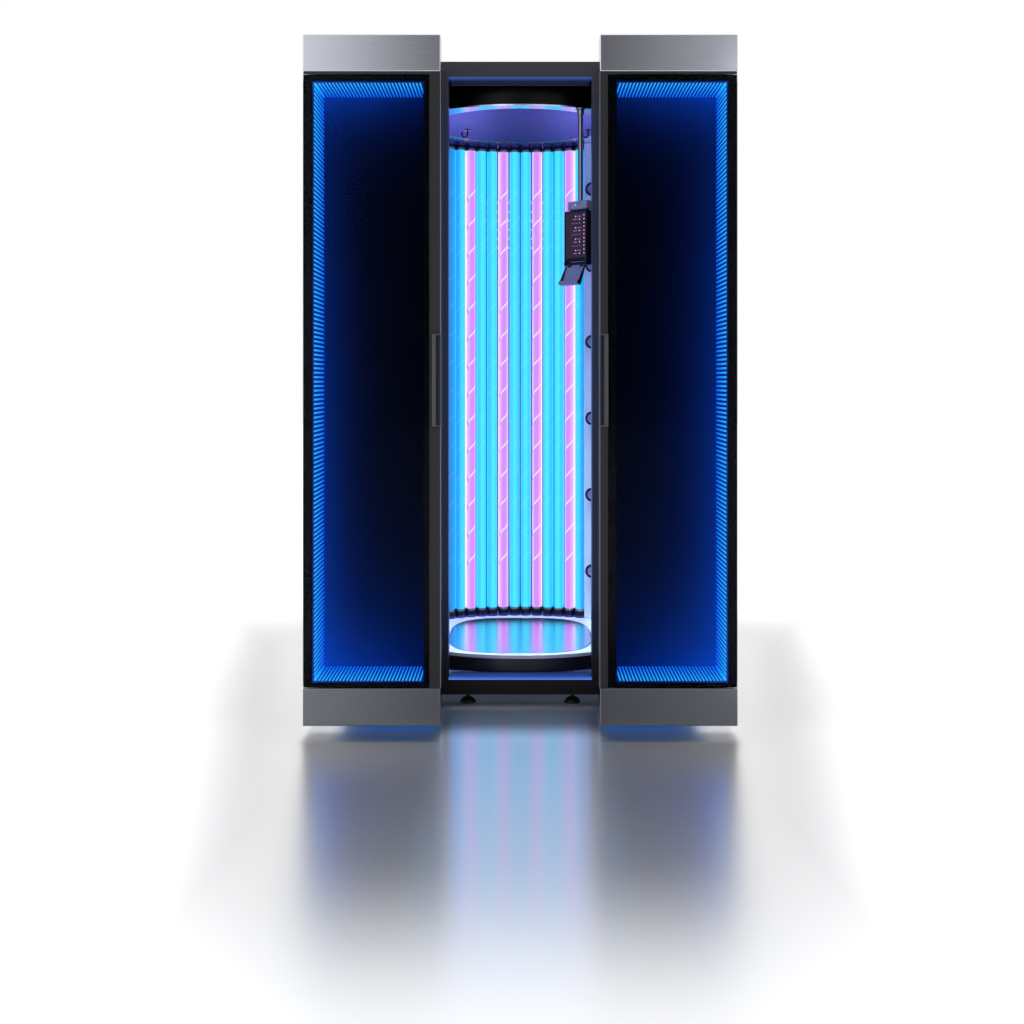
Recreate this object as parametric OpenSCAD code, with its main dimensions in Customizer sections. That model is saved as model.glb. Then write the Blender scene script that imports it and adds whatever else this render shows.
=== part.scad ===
// Walk-in vertical tanning booth: a cabin with a ring of two-metre lamps and
// two deep sliding doors whose glass fronts hold a lit tunnel.
// Millimetres. X to the right, Y from front to rear, Z up. The origin is on the
// floor, under the middle of the booth.

/* [Booth] */
// Height of the booth above the floor
booth_h = 2320; // [2240:5:2480]
// Depth from the faces of the doors to the end of the cable gland
booth_d = 1450; // [1420:5:1600]
// Greatest width of the cabin
cabin_w = 1340; // [1300:5:1560]
// Width of the cabin's flat front
front_w = 1230; // [1180:5:1290]
// Distance from the door faces back to the cabin's front
door_standoff = 372; // [372:1:420]
// Thickness of the sheet covers
sheet_t = 2; // [1.5:0.5:4]

/* [Base and frame] */
// Height of the levelling feet
foot_h = 41; // [35:1:60]
// Diameter of a foot's pad
foot_d = 58; // [44:1:76]
// Height of the frame's rails
rail_h = 51; // [40:1:56]
// Width of the frame's rails
rail_w = 80; // [76:1:90]
// Side of the frame's square posts
post_w = 50; // [30:1:50]
// Wall thickness of the frame's posts and channels
frame_t = 2.5; // [2:0.5:4]

/* [Doorway] */
// Clear width of the doorway
doorway_w = 517; // [480:1:540]
// Width of the doorway's jambs, sill and head
portal_w = 56; // [56:1:64]
// Depth of the doorway's lining
lining_d = 62; // [40:1:80]

/* [Lamp ring] */
// Distance from the cabin's front to the middle of the lamp ring
ring_setback = 525; // [520:1:540]
// Half-width of the lamp ring
ring_a = 520; // [500:1:530]
// Half-depth of the lamp ring
ring_b = 438; // [430:1:445]
// Lamp spacing along the ring
lamp_pitch = 48; // [45:0.5:50]
// Lamp places on each side of the ring's rear
lamps_per_side = 24; // [18:1:24]
// Lamp diameter
lamp_d = 38; // [26:1:38]
// Height of the booth that its lamps don't take
lamp_margin = 312; // [310:1:330]
// Height of a lower lamp holder
holder_h = 28; // [22:1:30]
// Height of an upper lamp holder
upper_holder_h = 20; // [18:1:24]
// Depth of a lamp in its holder
pocket = 14; // [10:1:16]
// First of the two lamp places that the air column takes, counted from the ring's rear
column_place = 6; // [4:1:12]

/* [Floor and ceiling] */
// Height of the standing floor
floor_z = 157; // [150:1:170]
// Half-width of the platform and of the canopy
canopy_a = 485; // [450:1:490]
// Half-depth of the platform and of the canopy
canopy_b = 409; // [390:1:412]
// Width of the glass floor plate
plate_w = 562; // [460:1:620]
// Depth of the glass floor plate
plate_d = 729; // [600:1:740]
// Radius of the ceiling light
light_r = 350; // [280:1:370]
// Thickness of the canopy's band
band_t = 8; // [4:1:12]

/* [Doors] */
// Width of each door
door_w = 457; // [440:1:470]
// Height of the gap under the doors
door_gap_z = 24.5; // [15:0.5:35]
// Clear width between the open doors
door_gap_w = 529; // [500:1:540]
// How far each door slides to close
door_travel = 260.5; // [200:0.5:262]
// Height of the metal band at a door's top
header_h = 122.5; // [100:0.5:123]
// Height of the metal band at a door's foot
footer_h = 125; // [110:0.5:125]
// Gap between the top band and the glass
shadow_gap = 8.5; // [4:0.5:12]
// Width of the closing profile on the left door
left_profile_w = 37; // [24:0.5:45]
// Width of the closing profile on the right door
right_profile_w = 26.5; // [24:0.5:45]
// Depth of the lit tunnel behind the glass
tunnel_d = 222; // [120:1:222]
// Spacing of the light bars up the tunnel's outer wall
bar_pitch = 15; // [10:0.5:30]
// Spacing of the light bars along the tunnel's floor and ceiling
row_pitch = 11.6; // [9:0.2:30]

/* [Handles] */
// Length of a handle
handle_l = 308; // [200:1:400]
// Width of a handle
handle_w = 30; // [26:0.5:36]
// How far a handle stands out of the door face
handle_proud = 20; // [14:0.5:30]

/* [Door gear] */
// Tread radius of a roller
tread_r = 21; // [15:0.5:24]
// Radius of a roller's axle
axle_r = 6; // [4:0.5:8]
// Distance between a door's two rollers
roller_span = 100; // [70:1:110]

/* [Controls] */
// Side distance of the hanger pole from the middle
pole_x = 225; // [180:1:230]
// Radius of the hanger pole
pole_r = 10; // [8:0.5:12]
// Width of the display housing
housing_w = 112; // [104:1:130]
// Height of the display housing
housing_h = 190; // [180:1:210]
// Depth of the display housing
housing_d = 40; // [34:1:44]
// Turn of the display at rest, from straight ahead
unit_turn = -45; // [-90:5:0]
// Length of the phone holder's plate
holder_l = 88; // [70:1:110]
// Slope of the phone holder's plate at rest, from upright
holder_tilt = 20.7; // [10:0.1:40]

/* [Air] */
// Number of air nozzles on the column
nozzle_count = 6; // [6]
// Distance of the highest air nozzle below the booth's top
nozzle_drop = 337; // [330:1:420]
// Height of the lowest air nozzle
nozzle_z = 363; // [300:1:400]
// Outer radius of a nozzle's ring
nozzle_r = 29; // [25:0.5:30]
// Radius of the roof fan
fan_r = 140; // [100:1:145]

/* [Fits] */
// Gap between fixed pieces that seat on each other
seat = 0.2; // [0.1:0.05:0.3]
// Radial running clearance of shafts and pins
running = 0.06; // [0.02:0.01:0.1]
// Gap between a roller and its rail
tread_gap = 0.3; // [0.2:0.05:0.5]

/* [Hidden] */

$fn = 64;
// Overshoot that keeps cutting faces apart
eps = 1;

// Front-to-rear places
door_y = -(booth_d + handle_proud) / 2 + handle_proud;
front_y = door_y + door_standoff;
gland_proud = 8;
rear_y = door_y + booth_d - gland_proud;
ring_y = front_y + ring_setback;

// Frame
frame_z = foot_h + seat;
sill_z = foot_h + 54;
pan_t = 2.8;
pan_z = sill_z - pan_t;
head_z = booth_h - 1 - portal_w;
lining_t = 3;
roof_frame_z = head_z + lining_t + seat;
roof_t = 3.8;
roof_z = booth_h - roof_t;
face_t = 6;
spindle_r = 6;
spindle_in = 25;
corner_r = 40;
outline_front = front_y + 4;

// Lamps
lamp_l = booth_h - lamp_margin;
nozzle_pitch = (booth_h - nozzle_drop - nozzle_z) / (nozzle_count - 1);
lamp_r = lamp_d / 2;
lamp_z = floor_z + holder_h - pocket + 2 * seat;
ceiling_z = lamp_z + lamp_l + upper_holder_h - pocket + 2 * seat;
deck_t = 12;
ring_t = 5;
deck_over = 69;
reflector_off = 24;
reflector_t = 1.5;
last_t = lamp_t(lamps_per_side - 1);
column_t = (lamp_t(column_place) + lamp_t(column_place + 1)) / 2;

// Doors
door_x = door_gap_w / 2;
door_top = booth_h - 0.5;
glass_z0 = door_gap_z + footer_h + 0.5;
glass_z1 = door_top - header_h - shadow_gap;
glass_y = 4;
glass_t = 6;
box_y = glass_y + glass_t + seat;
box_t = 3;
box_back = box_y + tunnel_d;
opening_in = 55;
opening_out = 31;
opening_top = 23;
opening_bottom = 18;
profile_d = 78;
shell_in = 22;
bay_end = 263;
door_d = 312;
frame_d = 24;
door_frame_y = box_back + box_t + seat;
door_frame_end = door_frame_y + frame_d;
tray_t = 2;
door_lamp_y = door_frame_end + tray_t + lamp_r + 6;
door_lamps = 5;

// Door gear
roller_in = 285;
rail_bar_t = 8;
rail_bar_h = 40;
rail_z = booth_h - 120;
rail_y = door_standoff - 32;
rail_x0 = door_x + roller_in - door_travel - 6;
rail_x1 = door_x + roller_in + roller_span + 22;
axle_z = rail_z + rail_bar_h + tread_r + tread_gap;
tread_w = rail_bar_t + 1;
flange_r = tread_r + 3;
flange_w = 4;
roller_y = rail_y + rail_bar_t / 2 - tread_w / 2 - flange_w;
roller_w = tread_w + 2 * flange_w;
hanger_t = 6;
hanger_y = rail_y - 20;

// Controls
pole_y = door_y + 540;
unit_top = booth_h - 481;
neck_h = 4;
head_h = 33;
head_w = 96;
housing_top = unit_top - head_h - neck_h;
housing_z = housing_top - housing_h;
face_y = -32;
hinge_y = face_y + 10;
hinge_z = housing_z - 7;
pin_r = 3;

// Fan
fan_z = ceiling_z + 40;
fan_h = 46;
hub_r = 42;
shaft_r = 6;

// ---- Functions ----

function unit(v) = v / norm(v);
function inward(a, b) = let (u = unit(b - a)) [-u.y, u.x];
function cyclic(pts, i) = pts[(i + len(pts)) % len(pts)];

// A closed outline, drawn anticlockwise, moved inwards by d
function inset(pts, d) = [
    for (i = [0 : len(pts) - 1])
        let (n1 = inward(cyclic(pts, i - 1), pts[i]),
             n2 = inward(pts[i], cyclic(pts, i + 1)))
        pts[i] + (n1 + n2) * d / (1 + n1 * n2)
];

// An open path moved to its left by d
function beside(pts, d) = [
    for (i = [0 : len(pts) - 1])
        let (n1 = inward(pts[max(i - 1, 0)], pts[max(i, 1)]),
             n2 = inward(pts[min(i, len(pts) - 2)], pts[min(i + 1, len(pts) - 1)]))
        pts[i] + (n1 + n2) * d / (1 + n1 * n2)
];

// A convex anticlockwise outline with each corner turned into an arc
function rounded(pts, r, steps = 6) = [
    for (i = [0 : len(pts) - 1])
        let (c = pts[i],
             u1 = unit(cyclic(pts, i - 1) - c),
             u2 = unit(cyclic(pts, i + 1) - c),
             half = acos(u1 * u2) / 2,
             hub = c + unit(u1 + u2) * r / sin(half),
             from = c + u1 * r / tan(half) - hub,
             turn = 180 - 2 * half,
             start = atan2(from.y, from.x))
        for (k = [0 : steps])
            hub + r * [cos(start + turn * k / steps), sin(start + turn * k / steps)]
];

// An ellipse round the ring's middle, with t counted from the rear to the right
function oval(a, b, n = 120) = [
    for (i = [0 : n - 1])
        [a * sin(-i * 360 / n), ring_y + b * cos(i * 360 / n)]
];
function oval_point(a, b, t) = [a * sin(t), ring_y + b * cos(t)];

// A place on the lamp ring, moved outwards by off
function ring_normal(t) = unit([sin(t) / ring_a, cos(t) / ring_b]);
function ring_point(t, off = 0) = oval_point(ring_a, ring_b, t) + ring_normal(t) * off;
function ring_turn(t) = -atan2(ring_normal(t).x, ring_normal(t).y);

// The angle that carries one lamp spacing along the ring, from the angle t
function ring_step(t) = lamp_pitch / norm([ring_a * cos(t), ring_b * sin(t)]) * 180 / PI;
function lamp_t(i) =
    i < 0 ? -lamp_t(-1 - i)
    : i == 0 ? ring_step(0) / 2
    : let (t = lamp_t(i - 1)) t + ring_step(t + ring_step(t) / 2);

// A superellipse, flatter along its sides than an ellipse
function plate_outline(w, d, power = 3.2, n = 96) = [
    for (i = [0 : n - 1])
        let (c = cos(i * 360 / n), s = sin(i * 360 / n))
        [sign(c) * w / 2 * pow(abs(c), 2 / power),
         ring_y + sign(s) * d / 2 * pow(abs(s), 2 / power)]
];

// The cabin's outer outline, anticlockwise
side_front = [cabin_w / 2, outline_front + 150];
side_rear = [cabin_w / 2, rear_y - 270];
cabin_outline = [
    [front_w / 2, outline_front], side_front, side_rear, [cabin_w / 2 - 190, rear_y],
    [190 - cabin_w / 2, rear_y], [-side_rear.x, side_rear.y], [-side_front.x, side_front.y],
    [-front_w / 2, outline_front]
];

// A door's outline in plan: x from its closing edge, y from its face
door_plan = [
    [0, 0], [door_w, 0], [door_w, door_d - 32], [door_w - 20, door_d],
    [shell_in, door_d], [shell_in, profile_d + 26], [0, profile_d + 4]
];

lamp_places = [
    for (i = [-lamps_per_side : lamps_per_side - 1])
        if (i != column_place && i != column_place + 1) i
];
function is_pink(i) = (i < 0 ? -1 - i : i) % 3 == 1;
function nozzle_height(n) = nozzle_z + (n - 1) * nozzle_pitch;

// ---- Helpers ----

// Draws on the right as given, or mirrored on the left
module on_side(side) {
    mirror([side < 0 ? 1 : 0, 0, 0])
        children();
}

// Puts x at the door's closing edge and y at its face
module at_door(side) {
    on_side(side)
        translate([door_x, door_y, 0])
            children();
}

module block(x0, x1, y0, y1, z0, z1) {
    translate([x0, y0, z0])
        cube([x1 - x0, y1 - y0, z1 - z0]);
}

module prism(pts, z0, z1) {
    translate([0, 0, z0])
        linear_extrude(z1 - z0)
            polygon(pts);
}

// A wall between an outline and the same outline moved in
module wall(outer, inner, z0, z1) {
    difference() {
        prism(outer, z0, z1);
        prism(inner, z0 - eps, z1 + eps);
    }
}

// A sheet that follows an open path
module bent_sheet(path, t, z0, z1) {
    back = beside(path, t);
    prism(concat(path, [for (i = [len(back) - 1 : -1 : 0]) back[i]]), z0, z1);
}

// Lies along Y from y0 to y1
module rod_y(x, z, r, y0, y1) {
    translate([x, y0, z])
        rotate([-90, 0, 0])
            cylinder(r = r, h = y1 - y0);
}

// Lies along X from x0 to x1
module rod_x(y, z, r, x0, x1) {
    translate([x0, y, z])
        rotate([0, 90, 0])
            cylinder(r = r, h = x1 - x0);
}

module skin(z0, z1) {
    wall(rounded(cabin_outline, corner_r),
         rounded(inset(cabin_outline, sheet_t), corner_r - sheet_t), z0, z1);
}

// A button-head screw with a hexagonal socket, its seat on the XY plane
module screw() {
    difference() {
        rotate_extrude()
            polygon([[0, -0.8], [5.2, -0.8], [5.2, 0.4], [4.4, 1.5], [2.8, 2.2], [0, 2.2]]);
        translate([0, 0, 0.8])
            cylinder(r = 1.9, h = 3, $fn = 6);
    }
}

// A column of screws up a cover's edge, facing away from the rear face or the side
module screw_column(x, y, turn) {
    first = foot_h + 45;
    pitch = (roof_z - first - 45) / 5;
    for (k = [0 : 5])
        translate([x, y, first + k * pitch])
            rotate(turn)
                screw();
}

// ---- Frame and covers ----

foot_places = [
    for (side = [-1, 1])
        for (p = [[190, front_y + 59], [cabin_w / 2 - 45, front_y + 500], [300, rear_y - 45]])
            [side * p.x, p.y]
];

function trim_after(pts, i) = pts[i] + unit(cyclic(pts, i + 1) - pts[i]) * corner_r * 0.75;
function trim_before(pts, i) = pts[i] + unit(cyclic(pts, i - 1) - pts[i]) * corner_r * 0.75;
function trim_middle(pts, i) = (trim_before(pts, i) + trim_after(pts, i)) / 2;

// One straight side of a frame ring, mitred at its ends
function ring_member(i) =
    let (out = inset(cabin_outline, sheet_t + seat),
         in = inset(cabin_outline, sheet_t + rail_w),
         j = (i + 1) % len(out))
    inset([trim_after(out, i), trim_before(out, j), trim_middle(out, j), in[j], in[i],
           trim_middle(out, i)], seat / 2);

// Folded channels, open below at the base and open above under the roof
module frame_ring(z0, z1, open_below) {
    for (i = [0 : len(cabin_outline) - 1])
        difference() {
            prism(ring_member(i), z0, z1);
            prism(inset(ring_member(i), frame_t),
                  open_below ? z0 - eps : z0 + frame_t, open_below ? z1 - frame_t : z1 + eps);
        }
}

beam_places = [front_y + 310, front_y + 740];

module cross_beams(z0, z1, open_below) {
    half = cabin_w / 2 - sheet_t - rail_w - seat;
    for (y = beam_places)
        difference() {
            block(-half, half, y - 25, y + 25, z0, z1);
            block(-half - eps, half + eps, y - 25 + frame_t, y + 25 - frame_t,
                  open_below ? z0 - eps : z0 + frame_t, open_below ? z1 - frame_t : z1 + eps);
        }
}

module post(x, y) {
    difference() {
        block(x, x + post_w, y, y + post_w, frame_z + rail_h - seat, roof_frame_z - seat);
        block(x + frame_t, x + post_w - frame_t, y + frame_t, y + post_w - frame_t,
              frame_z, roof_frame_z + eps);
    }
}

module cabin_frame() {
    base_top = frame_z + rail_h - 2 * seat;
    roof_top = roof_z - seat;
    inner_y = outline_front + sheet_t + seat;
    color("dimgray") {
        difference() {
            union() {
                frame_ring(frame_z, base_top, true);
                for (p = foot_places)
                    translate([p.x, p.y, frame_z])
                        cylinder(r = spindle_r + 8, h = base_top - frame_z);
            }
            for (p = foot_places)
                translate([p.x, p.y, frame_z - eps])
                    cylinder(r = spindle_r + 0.1, h = spindle_in + 2 + eps);
        }
        cross_beams(frame_z, base_top, true);
        frame_ring(roof_frame_z, roof_top, false);
        cross_beams(roof_frame_z, roof_top, false);
        for (side = [-1, 1])
            on_side(side) {
                post(doorway_w / 2 + 4, inner_y);
                post(front_w / 2 - 30 - post_w, inner_y);
                post(cabin_w / 2 - 4 - post_w, front_y + 500);
                post(400, rear_y - 4 - post_w);
            }
    }
}

module foot() {
    rotate_extrude()
        polygon([
            [0, 0], [foot_d / 2, 0], [foot_d / 2, 5], [foot_d / 2 - 3, 10],
            [foot_d / 2 - 10, 17], [foot_d / 2 - 18, 21], [spindle_r, 22],
            [spindle_r, foot_h + spindle_in], [0, foot_h + spindle_in]
        ]);
    translate([0, 0, foot_h - 10])
        cylinder(r = 11, h = 9, $fn = 6);
}

module levelling_feet() {
    color("black")
        for (p = foot_places)
            translate([p.x, p.y, 0])
                foot();
}

module floor_pan() {
    color("midnightblue")
        prism(inset(cabin_outline, front_y + lining_d + 2 * seat - outline_front), pan_z, sill_z);
}

// Half the doorway's jamb, sill or head, as a mitred outline seen from the front
function portal_member(k) =
    let (in_x = doorway_w / 2,
         out_x = in_x + portal_w,
         out = [[-out_x, foot_h], [out_x, foot_h], [out_x, booth_h - 1], [-out_x, booth_h - 1]],
         in = [[-in_x, sill_z], [in_x, sill_z], [in_x, head_z], [-in_x, head_z]],
         j = (k + 1) % 4)
    inset([out[k], out[j], in[j], in[k]], seat / 2);

// Stands an outline drawn in X and Z between y0 and y1
module upright(pts, y0, y1) {
    translate([0, y1, 0])
        rotate([90, 0, 0])
            linear_extrude(y1 - y0)
                polygon(pts);
}

// The frame round the doorway, with a lining that returns into the cabin
module front_portal() {
    in_x = doorway_w / 2;
    back = front_y + lining_d;
    color("dimgray")
        for (k = [0 : 3])
            difference() {
                upright(portal_member(k), front_y, back);
                difference() {
                    block(-cabin_w, cabin_w, front_y + face_t, back + eps, 0, booth_h + eps);
                    block(-in_x - lining_t, in_x + lining_t, front_y, back + 2 * eps,
                          sill_z - lining_t, head_z + lining_t);
                }
                // A shadow line down each jamb and a bevel along the doorway's edge
                for (x = [-in_x - 20, in_x + 15])
                    block(x, x + 5, front_y - eps, front_y + 2, sill_z - 20, head_z + 20);
            }
}

// Light strips behind the doorway's sill and head
module mood_lights() {
    back = front_y + lining_d;
    half = doorway_w / 2 - 6;
    color("dodgerblue") {
        block(-half, half, back + 2 * seat, back + 8, sill_z + seat, sill_z + 5);
        block(-half, half, back + seat, back + 8, head_z - 5, head_z + 2);
    }
}

module front_panels() {
    edge = doorway_w / 2 + portal_w + seat;
    color("black")
        for (side = [-1, 1])
            on_side(side) {
                intersection() {
                    skin(foot_h, roof_z - seat);
                    block(edge, front_w / 2 - 55, front_y, front_y + 20, 0, booth_h);
                }
                bent_sheet([ring_point(last_t + 2, reflector_off + 6),
                            [doorway_w / 2 + 12, front_y + lining_d + 22],
                            [doorway_w / 2 + 2.5, front_y + lining_d + 22],
                            [doorway_w / 2 + 2.5, front_y + lining_d + seat]],
                           -1.5, floor_z + 1, ceiling_z - 1);
            }
}

module side_panels() {
    color("black")
        for (side = [-1, 1])
            on_side(side) {
                difference() {
                    skin(foot_h, roof_z - seat);
                    block(-cabin_w, front_w / 2 - 55 + seat, front_y - eps, front_y + 60, 0, booth_h);
                    block(-cabin_w, 430, front_y - eps, rear_y + eps, 0, booth_h);
                }
                screw_column(450, rear_y, [-90, 0, 0]);
                for (y = [side_front.y + 36, side_rear.y - 36])
                    screw_column(cabin_w / 2, y, [0, 90, 0]);
            }
}

module rear_panel() {
    slot_w = 200;
    gland_x = -360;
    gland_z = 160;
    color("dimgray")
        difference() {
            union() {
                intersection() {
                    skin(foot_h, roof_z - seat);
                    block(-430 + seat, 430 - seat, rear_y - 40, rear_y + eps, 0, booth_h);
                }
                rod_y(gland_x, gland_z, 14, rear_y - 16, rear_y + 4);
                rod_y(gland_x, gland_z, 11, rear_y, rear_y + gland_proud);
                for (x = [-408, 408])
                    screw_column(x, rear_y, [-90, 0, 0]);
            }
            rod_y(gland_x, gland_z, 6.5, rear_y - 20, rear_y + 20);
            for (x = [-slot_w - 20, 20])
                for (row = [0 : 5])
                    for (z = [300, 1750])
                        block(x, x + slot_w, rear_y - 20, rear_y + eps,
                              z + row * 40, z + row * 40 + 10);
        }
}

// The roof carries the fan's guard, motor and shaft
module roof_panel() {
    notch = doorway_w / 2 + portal_w + seat;
    color("black")
        difference() {
            union() {
                prism(rounded(cabin_outline, corner_r), roof_z, booth_h);
                translate([0, ring_y, fan_z + fan_h + 6])
                    cylinder(r = hub_r, h = roof_z - fan_z - fan_h - 6 + eps);
                translate([0, ring_y, fan_z - 4])
                    cylinder(r = shaft_r, h = roof_z - fan_z);
                translate([0, ring_y, fan_z - 8])
                    cylinder(r = shaft_r + 4, h = 6);
            }
            block(-notch, notch, front_y - eps, front_y + face_t + seat, 0, booth_h + eps);
            for (ring = [0 : 5])
                for (sector = [0 : 5])
                    translate([0, ring_y, roof_z - eps])
                        rotate([0, 0, sector * 60 + 4])
                            rotate_extrude(angle = 52)
                                translate([hub_r + 8 + ring * 17, 0])
                                    square([11, roof_t + 2 * eps]);
        }
}

// Two bars that the rollers run on, and two channels that guide the doors' feet
module door_rails() {
    plate_y = door_y + door_standoff - seat - 4;
    bar_y = door_y + rail_y;
    plate_x1 = front_w / 2 - corner_r;
    pad_x0 = doorway_w / 2 + portal_w + 2 * seat;
    color("silver")
        for (side = [-1, 1])
            on_side(side) {
                block(rail_x0, rail_x1, bar_y, bar_y + rail_bar_t, rail_z, rail_z + rail_bar_h);
                block(rail_x0, plate_x1, plate_y, plate_y + 4, rail_z, rail_z + 90);
                block(pad_x0, plate_x1, plate_y, outline_front - seat, rail_z, rail_z + 90);
                for (k = [0 : 2])
                    rod_y(rail_x0 + 30 + k * 140, rail_z + 20, 9,
                          bar_y + rail_bar_t - eps, plate_y + eps);
                channel_y = door_y + rail_y - 2;
                difference() {
                    union() {
                        block(rail_x0, rail_x1, channel_y, channel_y + 26, 66, 90);
                        block(rail_x0, plate_x1, channel_y + 26 - eps, plate_y + 4, 46, 90);
                        block(pad_x0, plate_x1, plate_y, outline_front - seat, 46, 90);
                    }
                    block(rail_x0 - eps, rail_x1 + eps, channel_y + 3, channel_y + 23, 66 - eps, 87);
                }
            }
}

// ---- Floor and ceiling ----

// The canopy's ellipse, widened behind the doorway to carry the lamp holders
module deck(z0, z1) {
    spread = last_t + 4;
    steps = 60;
    outer = [
        for (k = [0 : steps])
            oval_point(canopy_a + deck_over, canopy_b + deck_over,
                       spread - 2 * spread * k / steps)
    ];
    prism(oval(canopy_a, canopy_b), z0, z1);
    prism(concat([[0, ring_y - 100]], outer), z0, z1);
}

module platform() {
    recess = 6;
    line = 1.5;
    color("lavender")
        difference() {
            deck(floor_z - deck_t, floor_z);
            prism(plate_outline(plate_w + 2 * line, plate_d + 2 * line),
                  floor_z - recess, floor_z + eps);
        }
}

module floor_plate() {
    color("lightsteelblue")
        prism(plate_outline(plate_w, plate_d), floor_z - 6 + seat, floor_z + 0.3);
}

module platform_skirt() {
    color("black")
        wall(oval(canopy_a - 3, canopy_b - 3), oval(canopy_a - 9, canopy_b - 9),
             sill_z + seat, floor_z - deck_t - seat);
}

module canopy_band() {
    color("black")
        wall(oval(canopy_a, canopy_b), oval(canopy_a - band_t, canopy_b - band_t),
             ceiling_z + ring_t + seat, roof_frame_z - seat);
}

module ceiling_ring() {
    color("silver")
        difference() {
            deck(ceiling_z, ceiling_z + ring_t);
            translate([0, ring_y, ceiling_z - eps])
                cylinder(r = light_r + seat, h = ring_t + 2 * eps, $fn = 128);
        }
}

module ceiling_light() {
    color("slateblue") {
        translate([0, ring_y, ceiling_z - 1])
            cylinder(r = light_r, h = ring_t + 1, $fn = 128);
        translate([0, ring_y, ceiling_z + ring_t - eps])
            cylinder(r = light_r - 30, h = 20, $fn = 128);
    }
}

// ---- Lamps ----

module at_ring(t, off = 0) {
    p = ring_point(t, off);
    translate([p.x, p.y, 0])
        rotate([0, 0, ring_turn(t)])
            children();
}

// A cup that stands on its base, or hangs from it when h is negative
module holder(z, h) {
    translate([0, 0, z])
        rotate([h > 0 ? 0 : 180, 0, 0])
            difference() {
                cylinder(r = lamp_r + 2.5, h = abs(h));
                translate([0, 0, abs(h) - pocket])
                    cylinder(r = lamp_r + 0.3, h = pocket + eps);
            }
}

module lamp_holders() {
    color("darkslateblue")
        for (i = lamp_places)
            at_ring(lamp_t(i)) {
                holder(floor_z + seat, holder_h);
                holder(ceiling_z - seat, -upper_holder_h);
            }
}

module lamp_reflectors() {
    strip = lamp_pitch - 1;
    color("gainsboro")
        for (i = lamp_places)
            at_ring(lamp_t(i), reflector_off)
                block(-strip / 2, strip / 2, 0, reflector_t, floor_z + seat, ceiling_z - seat);
}

// A glass tube between two end caps
module lamp(l) {
    cap = 16;
    difference() {
        union() {
            cylinder(r = lamp_r, h = cap);
            translate([0, 0, cap])
                cylinder(r = lamp_r - 0.4, h = l - 2 * cap);
            translate([0, 0, l - cap])
                cylinder(r = lamp_r, h = cap);
        }
        translate([0, 0, -eps])
            cylinder(r = lamp_r - 1.4, h = l - cap + eps);
    }
}

module ring_lamps(pink) {
    for (i = lamp_places)
        if (is_pink(i) == pink)
            at_ring(lamp_t(i))
                translate([0, 0, lamp_z])
                    lamp(lamp_l);
}

module blue_lamps() {
    color("deepskyblue")
        ring_lamps(false);
}

module pink_lamps() {
    color("violet")
        ring_lamps(true);
}

// ---- Air column and its rings ----

column_face = -12;
collar_end = -21.5;
spigot_end = -33;
ring_bore = nozzle_r - 7;

// Draws along the outward direction of one nozzle, with z along its axis
module at_nozzle(n) {
    at_ring(column_t)
        translate([0, 0, nozzle_height(n)])
            rotate([-90, 0, 0])
                children();
}

module air_column() {
    half = 1.5 * lamp_pitch - lamp_r - 5;
    color("lavender")
        difference() {
            union() {
                at_ring(column_t)
                    block(-half, half, column_face, reflector_off - 4,
                          floor_z + seat, ceiling_z - seat);
                for (n = [1 : nozzle_count])
                    at_nozzle(n) {
                        translate([0, 0, collar_end])
                            cylinder(r = ring_bore + 2, h = -collar_end);
                        translate([0, 0, spigot_end])
                            cylinder(r = ring_bore - running, h = -spigot_end);
                    }
            }
            for (n = [1 : nozzle_count])
                at_nozzle(n)
                    translate([0, 0, spigot_end - eps])
                        cylinder(r = 15, h = 26);
        }
}

// A gripped ring that turns on the nozzle's spigot, with a four-armed grille
module nozzle_ring(n) {
    width = -spigot_end + collar_end + 2 - 0.5;
    notches = 20;
    color("black")
        at_nozzle(n)
            translate([0, 0, spigot_end - 2])
                difference() {
                    cylinder(r = nozzle_r, h = width);
                    translate([0, 0, 2 - 0.3])
                        cylinder(r = ring_bore, h = width);
                    translate([0, 0, -eps])
                        cylinder(r = ring_bore - 4, h = width);
                    for (k = [0 : notches - 1])
                        rotate([0, 0, k * 360 / notches])
                            translate([nozzle_r + 1, 0, -eps])
                                cylinder(r = 2.2, h = width + 2 * eps, $fn = 16);
                }
}

module nozzle_ring_1() { nozzle_ring(1); }
module nozzle_ring_2() { nozzle_ring(2); }
module nozzle_ring_3() { nozzle_ring(3); }
module nozzle_ring_4() { nozzle_ring(4); }
module nozzle_ring_5() { nozzle_ring(5); }
module nozzle_ring_6() { nozzle_ring(6); }

// The rotor turns on the shaft that hangs from the roof
module exhaust_fan() {
    blades = 7;
    color("dimgray")
        translate([0, ring_y, fan_z])
            difference() {
                union() {
                    cylinder(r = hub_r, h = fan_h);
                    intersection() {
                        for (k = [0 : blades - 1])
                            rotate([0, 0, k * 360 / blades])
                                translate([hub_r - 6, 0, fan_h / 2])
                                    rotate([38, 0, 0])
                                        translate([0, -30, -1.5])
                                            cube([fan_r, 60, 3]);
                        cylinder(r = fan_r, h = fan_h);
                    }
                }
                translate([0, 0, -eps])
                    cylinder(r = shaft_r + running, h = fan_h + 2 * eps);
            }
}

// ---- Fittings under the ceiling ----

hook_places = [[-213, door_y + 954], [275, door_y + 960]];

module hanger_pole() {
    disc_r = pole_r + 4;
    color("gray") {
        translate([pole_x, pole_y, unit_top - head_h + 8])
            cylinder(r = pole_r, h = ceiling_z - seat - unit_top + head_h - 8);
        translate([pole_x, pole_y, unit_top - head_h + 8])
            cylinder(r = disc_r, h = 4);
        translate([pole_x, pole_y, ceiling_z - seat - 6])
            cylinder(r = pole_r + 9, h = 6);
        translate([pole_x, pole_y, ceiling_z - seat - 26])
            cylinder(r = pole_r + 4, h = 21);
    }
}

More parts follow.
